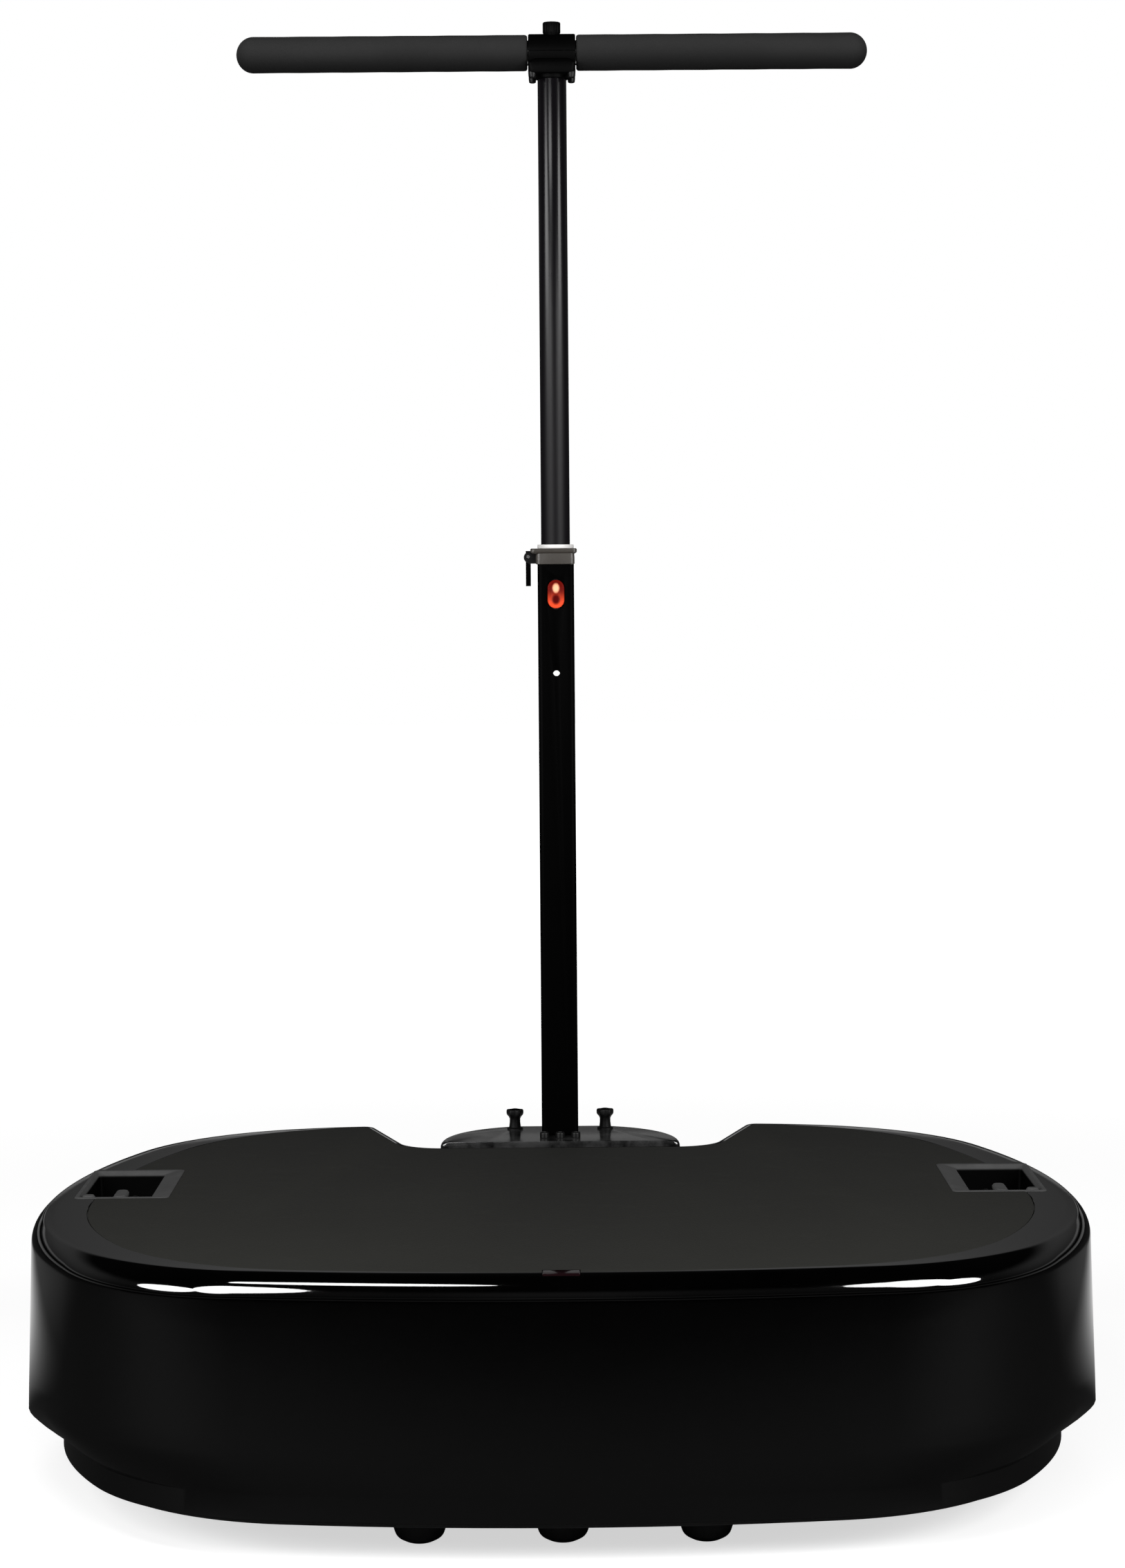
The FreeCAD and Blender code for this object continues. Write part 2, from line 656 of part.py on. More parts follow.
def make_pan():
    pan = body("base_pan")
    outline = plan("platform_width / 2 - pan_inset", "front_reach - pan_inset_front",
                   "rear_reach - pan_inset_front", "0", notched=False)
    pad(pan, sketch(pan, "pan_bottom", outline), "pan_thick")


FEET = [
    ("front_left", "-foot_pitch", "-foot_front_y"),
    ("front_middle", "0", "-foot_front_y"),
    ("front_right", "foot_pitch", "-foot_front_y"),
    ("side_left", f"-{FOOT_SIDE_X}", "-foot_side_y"),
    ("side_right", FOOT_SIDE_X, "-foot_side_y"),
    ("rear_left", "-foot_rear_x", "foot_rear_y"),
    ("rear_right", "foot_rear_x", "foot_rear_y"),
]


def make_feet():
    """Domed rubber feet: a short drum whose lower part is a ball with a flat under it."""
    for place, x, y in FEET:
        drop = "sqrt(foot_dia ^ 2 - foot_flat_dia ^ 2) / 2"
        drum = rod("foot_dia", f"pan_bottom - {drop}", x, y, drop)
        dome = common(ball("foot_dia", x, y, drop), rod("foot_dia + 2", drop, x, y, "0"))
        name(f"foot_{place}", join(drum, dome))


def make_control_gear():
    """A box on the pan with four posts that carry the circuit board."""
    z = PAN_TOP
    shell = box("control_len", "control_deep", "control_tall", "0", "0", z)
    hollow = box("control_len - 2 * control_wall", "control_deep - 2 * control_wall",
                 "control_tall - 2 * control_wall", "0", "0", f"{z} + control_wall")
    posts = [rod("post_dia", "control_tall / 3", f"{sx}(control_len / 2 - 2 * post_dia)",
                 f"{sy}(control_deep / 2 - 2 * post_dia)", f"{z} + control_wall - 1")
             for sx in ("", "-") for sy in ("", "-")]
    name("control_box", join(cut(shell, hollow), *posts))
    board = box("control_len - 4 * control_wall", "control_deep - 4 * control_wall", "board_thick",
                "0", "0", f"{z} + control_wall - 1 + control_tall / 3")
    name("circuit_board", board)


# ---------------------------------------------------------------- motors

def make_motor(side, sign):
    """A shaking motor along X: housing, shaft, two eccentric weights, saddle; returns its bearings."""
    x = f"{sign}motor_x"
    shield = "(bearing_w + motor_wall)"
    drum = middle_rod("motor_dia", "motor_len", x, "0", "motor_z")
    chamber = middle_rod("motor_dia - 2 * motor_wall", f"motor_len - 2 * {shield}", x, "0", "motor_z")
    bore = middle_rod("shaft_dia + 2 * motor_bore_gap", "motor_len + 2", x, "0", "motor_z")
    seats = [middle_rod("bearing_dia", "bearing_w + 1", f"{x} {way} (motor_len - bearing_w + 1) / 2", "0",
                        "motor_z") for way in ("+", "-")]
    name(f"motor_housing_{side}", cut(drum, chamber, bore, *seats))

    bearings = []
    weights = []
    for way in ("+", "-"):
        bearing_x = f"{x} {way} (motor_len - bearing_w) / 2"
        race = middle_rod("bearing_dia", "bearing_w", bearing_x, "0", "motor_z")
        hole = middle_rod("shaft_dia + 2 * slide_fit", "bearing_w + 2", bearing_x, "0", "motor_z")
        bearings.append(cut(race, hole))
        weight_x = f"{x} {way} (motor_len / 2 + weight_gap + weight_thick / 2)"
        disc = middle_rod("2 * weight_r", "weight_thick", weight_x, "0", "motor_z")
        lower = box("weight_thick", "2 * weight_r", "weight_r", weight_x, "0", "motor_z - weight_r")
        hub = middle_rod("2 * shaft_dia", "weight_thick", weight_x, "0", "motor_z")
        eye = middle_rod("shaft_dia", "weight_thick + 2", weight_x, "0", "motor_z")
        weights.append(cut(join(common(disc, lower), hub), eye))
    name(f"eccentric_weights_{side}", group(*weights))
    shaft_long = "motor_len + 2 * (weight_gap + weight_thick) + 4"
    name(f"motor_shaft_{side}", middle_rod("shaft_dia", shaft_long, x, "0", "motor_z"))

    hanger = box("saddle_w", "motor_dia + 2 * saddle_thick", f"{PLATE_BOTTOM} - motor_z", x, "0", "motor_z")
    strap = middle_rod("motor_dia + 2 * saddle_thick", "saddle_w", x, "0", "motor_z")
    seat = middle_rod("motor_dia", "saddle_w + 2", x, "0", "motor_z")
    name(f"motor_saddle_{side}", cut(join(hanger, strap), seat))
    return bearings


def make_motors():
    name("motor_bearings", group(*make_motor("left", "-"), *make_motor("right", "")))


# ---------------------------------------------------------------- mast housing

def make_bracket():
    """Foot plate, square socket and top flange of the steel mast bracket."""
    socket_side = "(tube_side + 2 * socket_wall)"
    foot = box("bracket_len", "bracket_deep", "bracket_thick", "0", "mast_y", PAN_TOP)
    socket = box(socket_side, socket_side, f"{COVER_FLOOR} - {PAN_TOP}", "0", "mast_y", PAN_TOP)
    flange = box("2 * knob_x + 4 * knob_stud_dia", "bracket_deep - 2", "bracket_thick", "0", "mast_y + 5",
                 f"{COVER_FLOOR} - bracket_thick")
    bore = box("tube_side + 2 * socket_fit", "tube_side + 2 * socket_fit", "cover_top", "0", "mast_y",
               f"{PAN_TOP} + bracket_thick")
    studs = [rod("knob_stud_dia + 0.1", "3 * bracket_thick", f"{way}knob_x", "knob_y",
                 f"{COVER_FLOOR} - 2 * bracket_thick")
             for way in ("", "-")]
    name("mast_bracket", cut(join(foot, socket, flange), bore, *studs))
    heads = [rod("bolt_dia * 1.6", "head_tall", f"{sx}bracket_bolt_x", f"mast_y {sy} bracket_bolt_y",
                 f"{PAN_TOP} + bracket_thick")
             for sx in ("", "-") for sy in ("+", "-")]
    name("bracket_bolts", group(*heads))


def cover_plan(inset):
    """Outline of the mast cover: half an oval, cut flat at the rear."""
    half = number("cover_half") - inset
    bow = number("cover_bow") - inset
    front = number("notch_floor + cover_gap") + inset
    middle = number("notch_floor + cover_gap")
    rear = number("cover_rear") - inset
    vec = FreeCAD.Vector
    flat_half = half * math.sqrt(1 - ((rear - middle) / bow) ** 2)
    oval = Part.Ellipse(vec(0, middle, 0), half, bow)
    side_angle = math.asin((front - middle) / bow)
    rear_angle = math.asin((rear - middle) / bow)
    right = Part.ArcOfEllipse(oval, side_angle, rear_angle)
    left = Part.ArcOfEllipse(oval, math.pi - rear_angle, math.pi - side_angle)
    side = half * math.cos(side_angle)
    return [Part.LineSegment(vec(-side, front, 0), vec(side, front, 0)), right,
            Part.LineSegment(vec(flat_half, rear, 0), vec(-flat_half, rear, 0)), left]


def make_cover():
    """The moulded cover that closes the notch round the foot of the mast."""
    cover = body("mast_cover")
    bottom = PAN_TOP
    pad(cover, sketch(cover, bottom, cover_plan(0)), f"cover_top - {bottom}")
    pocket(cover, sketch(cover, bottom, cover_plan(number("cover_wall"))), f"{COVER_FLOOR} - {bottom}",
           upward=True)
    holes = sketch(cover, "cover_top")
    rectangle(holes, "tube_side + 2 * socket_fit", "tube_side + 2 * socket_fit", "0", "mast_y")
    for way in ("", "-"):
        side = "knob_stud_dia + 0.6"
        rectangle(holes, side, side, f"{way}knob_x", "knob_y")
    pocket(cover, holes, "cover_wall")
    windows = sketch(cover, "inlet_z - inlet_tall / 2")
    for way in ("", "-"):
        rectangle(windows, "inlet_w + 2 * mat_play", "2 * cover_wall", f"{way}inlet_x", "cover_rear")
    pocket(cover, windows, "inlet_tall", upward=True)


def make_inlet():
    """The power inlet: a flanged body with a cavity and three pins."""
    low = "inlet_z - inlet_tall / 2"
    outer = box("inlet_w", "inlet_deep", "inlet_tall - 2 * mat_play", "-inlet_x", "cover_rear - inlet_deep / 2",
                f"{low} + mat_play")
    flange = box("inlet_w + 2 * inlet_flange", "flange_thick", "inlet_tall + 2 * inlet_flange", "-inlet_x",
                 "cover_rear + flange_thick / 2", f"{low} - inlet_flange")
    cavity = box("inlet_w - 2 * inlet_rim", "inlet_deep", "inlet_tall - 2 * inlet_flange", "-inlet_x",
                 "cover_rear + 2 * flange_thick + 0.5 - inlet_deep / 2", f"{low} + inlet_flange")
    name("power_inlet", cut(join(outer, flange), cavity))
    pins = []
    for dx, dz in (("-pin_pitch", "-inlet_rim"), ("0", "inlet_flange"), ("pin_pitch", "-inlet_rim")):
        pins.append(box("pin_w", "pin_len", "pin_tall", f"-inlet_x + {dx}",
                        "cover_rear - inlet_deep + 2 * flange_thick + 0.5 + pin_len / 2",
                        f"inlet_z + {dz} - pin_tall / 2"))
    name("inlet_pins", group(*pins))


def make_switch():
    """The mains switch: a bezel and a rocker that tips about X."""
    low = "inlet_z - inlet_tall / 2"
    outer = box("inlet_w", "switch_deep", "inlet_tall - 2 * mat_play", "inlet_x",
                "cover_rear - switch_deep / 2", f"{low} + mat_play")
    flange = box("inlet_w + 2 * inlet_flange", "flange_thick", "inlet_tall + 2 * inlet_flange", "inlet_x",
                 "cover_rear + flange_thick / 2", f"{low} - inlet_flange")
    cavity = box("inlet_w - 2 * inlet_rim", "switch_deep", "inlet_tall - 2 * inlet_rim", "inlet_x",
                 "cover_rear - rocker_proud", f"{low} + inlet_rim")
    name("switch_bezel", cut(join(outer, flange), cavity))
    wide = "(inlet_w - 2 * inlet_rim - 1)"
    paddle = middle_rod("rocker_dia", wide, "inlet_x", "cover_rear - rocker_proud", "inlet_z")
    face = box(wide, "8", "rocker_tall", "inlet_x", "cover_rear", "inlet_z - rocker_tall / 2")
    trim = box(wide, "rocker_dia - 1.5", "2 * rocker_tall", "inlet_x", "cover_rear - rocker_proud + 0.5",
               "inlet_z - rocker_tall")
    name("switch_rocker", common(join(paddle, face), trim))


def make_knobs():
    """Thumb knobs: a lobed, flared head on a neck, with a stud down into the bracket."""
    for side, sign in (("left", "-"), ("right", "")):
        x = f"{sign}knob_x"
        neck = rod("knob_stem_dia", "knob_tall / 2", x, "knob_y", "cover_top")
        flare = cone("knob_stem_dia", "knob_dia", "knob_tall / 4", x, "knob_y", "cover_top + knob_tall / 2")
        head = rod("knob_dia", "knob_tall / 4", x, "knob_y", "cover_top + knob_tall * 3 / 4")
        stud = rod("knob_stud_dia", "10", x, "knob_y", "cover_top - 8")
        lobes = []
        for n in range(5):
            turn = 2 * math.pi * n / 5
            reach = "(knob_dia / 2 + 1)"
            lobes.append(rod("4", "knob_tall", f"{x} + {reach} * {math.cos(turn):.4f}",
                             f"knob_y + {reach} * {math.sin(turn):.4f}", "cover_top + knob_tall / 2"))
        name(f"thumb_knob_{side}", cut(join(neck, flare, head, stud), *lobes))


def make_pilot_screws():
    screws = []
    for step in ("-pilot_pitch", "0", "pilot_pitch"):
        screws.append(rod("pilot_dia", "5", step, f"{TUBE_FRONT} - 10", "cover_top"))
    name("mast_foot_screws", group(*screws))


# ---------------------------------------------------------------- mast

def square_tube(side, tall, z, round_):
    """A square block round the mast's axis, with its upright edges rounded."""
    return rounded(box(side, side, tall, "0", "mast_y", z), round_, lambda edge: runs_along(edge, "z"))


def racetrack(wide, tall, deep, y, z):
    """A slot-shaped block that runs along Y from y, its middle at z."""
    half = f"({tall} - {wide}) / 2"
    ends = [rod(wide, deep, "0", y, f"{z} {way} {half}", along="+Y") for way in ("+", "-")]
    middle = box(wide, deep, f"{tall} - {wide}", "0", f"{y} + ({deep}) / 2", f"{z} - {half}")
    return join(*ends, middle)


def make_lower_tube():
    z = f"({PAN_TOP} + 5)"
    outer = square_tube("tube_side", f"tube_top - {z}", z, "tube_round")
    inner = square_tube(TUBE_HOLLOW, f"tube_top - {z} + 2", f"{z} - 1", "tube_round / 2")
    peep = middle_rod("peep_dia", "tube_side + 2", "0", "mast_y", "peep_z", along="+Y")
    slot = racetrack("button_w + 2 * button_play", "button_tall + 2 * button_play", "tube_wall + 2",
                     f"{TUBE_FRONT} - 1", "button_z")
    name("lower_tube", cut(outer, inner, peep, slot))


def make_collar_and_bush():
    collar = square_tube(COLLAR_SIDE, "collar_tall", "tube_top", "tube_round")
    ears = []
    for way in ("+", "-"):
        ears.append(box("lever_off + lever_thick + 6", "2.5", "collar_tall - 4",
                        f"{LEVER_X} + lever_thick / 2", f"mast_y {way} (lever_w / 2 + 1.75)", "tube_top + 2"))
    bore = rod(f"{BUSH_DIA} + 0.1", "collar_tall + 2", "0", "mast_y", "tube_top - 1")
    hole = middle_rod("lever_pin_dia", "60", LEVER_X, "mast_y", LEVER_PIN_Z, along="+Y")
    name("mast_collar", cut(join(collar, *ears), bore, hole))

    sleeve = rod(BUSH_DIA, f"{COLLAR_TOP} - {BUSH_FOOT}", "0", "mast_y", BUSH_FOOT)
    lip = rod("bush_lip_dia", "bush_lip", "0", "mast_y", COLLAR_TOP)
    bore = rod("mast_dia + 2 * slide_fit", f"{COLLAR_TOP} + bush_lip + 2 - {BUSH_FOOT}", "0", "mast_y",
               f"{BUSH_FOOT} - 1")
    name("nylon_bush", cut(join(sleeve, lip), bore))


def make_lever():
    """The lock lever hangs beside the collar from a pin along Y."""
    bottom = f"({LEVER_PIN_Z} + 5 - lever_len)"
    blade = box("lever_thick", "lever_w", "lever_len", LEVER_X, "mast_y", bottom)
    eye = middle_rod("lever_pin_dia + 2 * slide_fit", "lever_w + 2", LEVER_X, "mast_y", LEVER_PIN_Z,
                     along="+Y")
    name("lock_lever", cut(blade, eye))
    name("lever_pin", middle_rod("lever_pin_dia", "lever_w + 7", LEVER_X, "mast_y", LEVER_PIN_Z, along="+Y"))


def make_button():
    """The push button: a pad in its slot with a flange inside, hollowed to clear the upper tube."""
    pad_deep = "(button_proud + tube_wall + 4)"
    pad_ = racetrack("button_w", "button_tall", pad_deep, f"{TUBE_FRONT} - button_proud", "button_z")
    flange = box("button_w + 2 * button_flange", "5", "button_tall + 2 * button_flange", "0",
                 f"{TUBE_INNER} + 2.5", "button_z - button_tall / 2 - button_flange")
    back = rod("mast_dia + 2 * (button_travel + button_back)", "button_tall + 20", "0", "mast_y",
               "button_z - button_tall / 2 - 10")
    name("lock_button", cut(join(pad_, flange), back))


def make_upper_tube():
    outer = rod("mast_dia", f"{HUB_BOTTOM} + 12 - mast_foot", "0", "mast_y", "mast_foot")
    inner = rod("mast_dia - 2 * mast_wall", f"{HUB_BOTTOM} + 14 - mast_foot", "0", "mast_y", "mast_foot - 1")
    name("upper_tube", cut(outer, inner))
    glide = box(f"{TUBE_HOLLOW} - 0.6", f"{TUBE_HOLLOW} - 0.6", "glide_tall", "0", "mast_y",
                "mast_foot - glide_tall")
    spigot = rod("mast_dia - 2 * mast_wall - 0.1", "glide_tall + 16", "0", "mast_y", "mast_foot - glide_tall")
    name("nylon_glide", join(square_cut(glide), spigot))


def square_cut(base):
    return rounded(base, "tube_round / 2", lambda edge: runs_along(edge, "z"))


# ---------------------------------------------------------------- crossbar

def make_hub():
    """The clamp hub: a saddle on the mast and a cap over the crossbar, split at the bar's axis."""
    drum = middle_rod("hub_dia", "hub_w", "0", "mast_y", "bar_z")
    stem = rod("hub_stem_dia", "hub_stem", "0", "mast_y", HUB_BOTTOM)
    ears = [box("hub_w", "hub_ear_dia", "14", "0", f"mast_y {way} (hub_dia / 2 + 2)", "bar_z - 7")
            for way in ("+", "-")]
    block = join(drum, stem, *ears)
    bar_bore = middle_rod("bar_dia + 0.1", "hub_w + 2", "0", "mast_y", "bar_z")
    socket = rod("mast_dia", "13", "0", "mast_y", f"{HUB_BOTTOM} - 1")
    screws = []
    holes = []
    for sx in ("", "-"):
        for way in ("+", "-"):
            x = f"{sx}(hub_w / 2 - 7)"
            y = f"mast_y {way} (hub_dia / 2 + 2)"
            holes.append(rod("4", "30", x, y, "bar_z - 15"))
            shank = rod("4", "18", x, y, "bar_z - 9")
            screws.append(join(shank, rod("7", "4", x, y, "bar_z - 11")))
    whole = cut(block, bar_bore, socket, *holes)
    name("hub_screws", group(*screws))
    below = box("200", "200", "100", "0", "mast_y", "bar_z - 100 - hub_split / 2")
    above = box("200", "200", "100", "0", "mast_y", "bar_z + hub_split / 2")
    name("hub_saddle", common(whole, below))
    hole = rod("5", "30", "0", "mast_y", "bar_z + bar_dia / 2")
    name("hub_cap", cut(common(whole, above), hole))
    head = rod("top_knob_dia", "top_knob_tall", "0", "mast_y", "bar_z + hub_dia / 2")
    stud = rod("4.9", "9", "0", "mast_y", "bar_z + hub_dia / 2 - 8.5")
    name("top_knob", join(head, stud))


def make_crossbar():
    long = "grip_span - 2 * grip_end"
    tube = middle_rod("bar_dia", long, "0", "mast_y", "bar_z")
    bore = middle_rod("bar_dia - 2 * bar_wall", f"{long} + 2", "0", "mast_y", "bar_z")
    name("crossbar_tube", cut(tube, bore))
    for side, sign in (("left", "-"), ("right", "")):
        start = "(hub_w / 2 + 0.5)"
        span = f"(grip_span / 2 - {start})"
        foam = middle_rod("grip_dia", span, f"{sign}({start} + {span} / 2)", "mast_y", "bar_z")
        end = number("grip_span / 2")
        foam = rounded(foam, "grip_dia * 0.4", lambda edge: abs(abs(edge.BoundBox.Center.x) - end) < 0.01
                       and edge.BoundBox.XLength < 0.01)
        hole_span = f"({long}) / 2 - {start} + 1"
        hole = middle_rod("bar_dia", hole_span, f"{sign}(({long}) / 2 - ({hole_span}) / 2)", "mast_y", "bar_z")
        name(f"foam_grip_{side}", cut(foam, hole))


# ---------------------------------------------------------------- build

make_shell()
make_mat()
make_window()
make_strap_wells()
make_deck_plate()
make_rails_and_isolators()
make_deck_bolts()
make_motors()
make_pan()
make_feet()
make_control_gear()
make_bracket()
make_cover()
make_inlet()
make_switch()
make_knobs()
make_pilot_screws()
make_lower_tube()
make_collar_and_bush()
make_lever()
make_button()
make_upper_tube()
make_hub()
make_crossbar()
doc.recompute()

for obj in doc.Objects:
    assert not {"Invalid", "Error"} & set(obj.State), f"{obj.Label} failed: {obj.State}"
for part in subparts:
    assert not part.Shape.isNull(), f"{part.Label} is empty"
    assert part.Shape.isValid(), f"{part.Label} is not valid"
    assert part.Shape.Solids, f"{part.Label} has no solid"

os.makedirs("parts", exist_ok=True)
for part in subparts:
    part.Shape.exportStep(f"parts/{part.Label}.step")
print(f"{len(subparts)} sub-parts written")
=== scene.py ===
# %% [markdown]
# # A vibration plate
# A standing platform on seven rubber feet, shaken by two motors under its deck, with a telescopic
# mast and a foam-covered crossbar behind it. The engineering model gives every part its place and
# its motion. This lesson makes the parts look like what they are made of: gloss moulding, rubber,
# foam, powder paint and nylon. It builds a new surface for each piece that is seen closely, and
# gives every other part a finish with its own grain.

# %% Load the engineering model
import json
from math import cos, pi, radians, sin, tan
import bmesh
import bpy
from mathutils import Matrix, Vector


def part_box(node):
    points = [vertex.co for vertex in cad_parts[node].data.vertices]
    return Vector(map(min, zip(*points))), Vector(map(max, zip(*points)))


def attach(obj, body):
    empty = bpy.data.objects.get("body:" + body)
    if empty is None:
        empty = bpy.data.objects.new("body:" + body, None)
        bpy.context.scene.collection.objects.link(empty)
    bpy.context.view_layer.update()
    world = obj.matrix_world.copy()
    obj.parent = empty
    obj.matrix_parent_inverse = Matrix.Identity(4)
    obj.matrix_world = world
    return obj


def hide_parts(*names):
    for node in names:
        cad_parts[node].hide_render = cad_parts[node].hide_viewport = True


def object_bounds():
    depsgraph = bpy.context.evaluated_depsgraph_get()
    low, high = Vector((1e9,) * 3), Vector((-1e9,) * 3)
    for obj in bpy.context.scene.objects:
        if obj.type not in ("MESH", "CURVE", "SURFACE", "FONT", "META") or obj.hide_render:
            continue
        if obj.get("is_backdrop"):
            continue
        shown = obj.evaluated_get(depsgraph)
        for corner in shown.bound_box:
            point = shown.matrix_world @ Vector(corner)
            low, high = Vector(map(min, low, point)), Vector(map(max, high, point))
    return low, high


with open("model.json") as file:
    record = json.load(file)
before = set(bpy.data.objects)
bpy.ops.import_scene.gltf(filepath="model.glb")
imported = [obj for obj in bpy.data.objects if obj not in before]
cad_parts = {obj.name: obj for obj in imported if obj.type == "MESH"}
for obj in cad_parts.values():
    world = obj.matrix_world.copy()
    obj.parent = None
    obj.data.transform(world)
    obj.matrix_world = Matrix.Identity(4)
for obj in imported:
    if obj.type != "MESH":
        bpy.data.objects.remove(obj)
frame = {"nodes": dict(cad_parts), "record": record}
nodes = frame["nodes"]
cad_low, cad_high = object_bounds()
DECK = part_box("rubber_mat")[1].z
print("engineering model", [round(v, 4) for v in (*cad_low, *cad_high)])

# %% [markdown]
# ## The camera and the studio
# The object is seen from the front at table height, looking level. A level camera keeps upright
# edges parallel, and the lens is shifted down to bring the platform into the picture, as an
# architect's camera does. A tilted camera would make the mast lean back instead.

# %% Camera
CAMERA_PLACE = (0.0, -2.82, 0.723)
LENS_MM = 80.4
SHIFT = (0.0044, -0.1473)
ROLL = radians(0.45)


def placed(name, data):
    """A new object in the scene."""
    made = bpy.data.objects.new(name, data)
    bpy.context.scene.collection.objects.link(made)
    return made


lens = bpy.data.cameras.new("camera")
lens.lens = LENS_MM
lens.shift_x, lens.shift_y = SHIFT
camera = placed("camera", lens)
camera.matrix_world = (Matrix.Translation(CAMERA_PLACE) @ Matrix.Rotation(radians(90), 4, "X")
                       @ Matrix.Rotation(-ROLL, 4, "Z"))
bpy.context.scene.camera = camera
bpy.context.scene.view_settings.view_transform = "Standard"
print("camera at", CAMERA_PLACE)

# %% [markdown]
# ## Writing a finish as arithmetic
# A finish is a small program of nodes. Wiring it by hand is slow to read, so a value that comes
# out of a node is wrapped here, and plus, minus and times on it add Math nodes. Any other node
# comes from one method, which takes its type, its settings and what goes into its sockets.

# %% Values, nodes and finishes
class Value:
    """What one node puts out; plain arithmetic on it adds Math nodes."""

    def __init__(self, finish, socket):
        self.finish = finish
        self.socket = socket

    def math(self, operation, first, second):
        return self.finish.node("ShaderNodeMath", {"operation": operation}, {0: first, 1: second})

    def __add__(self, other):
        return self.math("ADD", self, other)

    def __sub__(self, other):
        return self.math("SUBTRACT", self, other)

    def __rsub__(self, other):
        return self.math("SUBTRACT", other, self)

    def __mul__(self, other):
        return self.math("MULTIPLY", self, other)

    __radd__ = __add__
    __rmul__ = __mul__

    def __abs__(self):
        return self.math("ABSOLUTE", self, 0.0)

    def clipped(self):
        return self.finish.node("ShaderNodeClamp", {}, {0: self})

    def between(self, low, high, out_low=0.0, out_high=1.0):
        """The value spread smoothly from one range to another."""
        return self.finish.node("ShaderNodeMapRange", {"interpolation_type": "SMOOTHSTEP"},
                                {0: self, 1: low, 2: high, 3: out_low, 4: out_high})


class Nodes:
    """A tree of nodes, written one after another."""

    def __init__(self, tree):
        self.tree = tree

    def node(self, kind, settings, sockets, out=0):
        """Any node: its type, its settings, then the values or links of its sockets."""
        made = self.tree.nodes.new(kind)
        for key, setting in settings.items():
            setattr(made, key, setting)
        for key, given in sockets.items():
            self.feed(made.inputs[key], given)
        return Value(self, made.outputs[out])

    def feed(self, socket, given):
        if isinstance(given, Value):
            self.tree.links.new(given.socket, socket)
        else:
            socket.default_value = given

    def ray(self, kind):
        """1 for one kind of ray, such as Camera or Glossy, and 0 for the others."""
        return self.node("ShaderNodeLightPath", {}, {}, "Is " + kind + " Ray")


class Finish(Nodes):
    """A material, with the patterns that finishes are made of."""

    def __init__(self, name, **constants):
        self.material = bpy.data.materials.new(name)
        self.material.use_nodes = True
        super().__init__(self.material.node_tree)
        self.shader = self.tree.nodes["Principled BSDF"]
        self.shown(constants)

    def shown(self, sockets):
        """Sets or links the shader's own sockets; an underscore stands for a space."""
        for key, given in sockets.items():
            self.feed(self.shader.inputs[key.replace("_", " ")], given)

    def surface(self, colour, roughness, height, depth, strength):
        """Colour, roughness and relief; the depth of the relief is in metres."""
        bump = self.node("ShaderNodeBump", {},
                         {"Strength": strength, "Distance": depth, "Height": height})
        self.shown({"Base Color": colour, "Roughness": roughness, "Normal": bump})
        return self.material

    def place(self):
        return self.node("ShaderNodeTexCoord", {}, {}, "Object")

    def along(self, axis):
        """One coordinate of the place, in metres."""
        return self.node("ShaderNodeSeparateXYZ", {}, {0: self.place()}, axis)

    def noise(self, scale, detail=3.0, roughness=0.5, where=None):
        return self.node("ShaderNodeTexNoise", {},
                         {"Vector": where or self.place(), "Scale": scale, "Detail": detail,
                          "Roughness": roughness}, "Fac")

    def cells(self, scale, feature="F1"):
        return self.node("ShaderNodeTexVoronoi", {"feature": feature},
                         {"Vector": self.place(), "Scale": scale}, "Distance")

    def stretched(self, factors):
        """The place, squeezed along an axis, so that a pattern becomes streaks."""
        return self.node("ShaderNodeMapping", {}, {"Vector": self.place(), "Scale": factors})

    def mixed(self, share, first, second):
        """One colour fading into another; a bare number is a grey."""
        first, second = (grey(c) if isinstance(c, float) else c for c in (first, second))
        return self.node("ShaderNodeMix", {"data_type": "RGBA"}, {0: share, 6: first, 7: second}, 2)

    def edges(self, radius):
        """Near 1 on sharp edges and 0 on flat faces."""
        soft = self.node("ShaderNodeBevel", {"samples": 6}, {"Radius": radius})
        flat = self.node("ShaderNodeNewGeometry", {}, {}, "Normal")
        same = self.node("ShaderNodeVectorMath", {"operation": "DOT_PRODUCT"}, {0: soft, 1: flat}, 1)
        return (1.0 - same).between(0.02, 0.22)


def grey(level, warm=0.0):
    """A near-neutral colour; a warm one has a little less blue."""
    return (level * (1.0 + warm), level, level * (1.0 - warm), 1.0)


# %% [markdown]
# ## Light
# The plate stands in a pale studio, but gloss black shows only what it mirrors, and most of that is
# the dark room behind the camera. So the world has two sides. The camera and the clear parts see
# plain white, matt surfaces take an even soft light, and mirrored rays find a dark room. It holds
# one dim card low behind the object, a brighter crease along the lower edge of the card, and a thin
# line on the horizon. An even white world would be simpler, but the moulding would look grey in it.

# %% World
WORLD_AMBIENT = 0.32
CARD_LIGHT, CREASE_LIGHT, LINE_LIGHT, ROOM_LIGHT = 0.20, 1.5, 0.20, 0.002

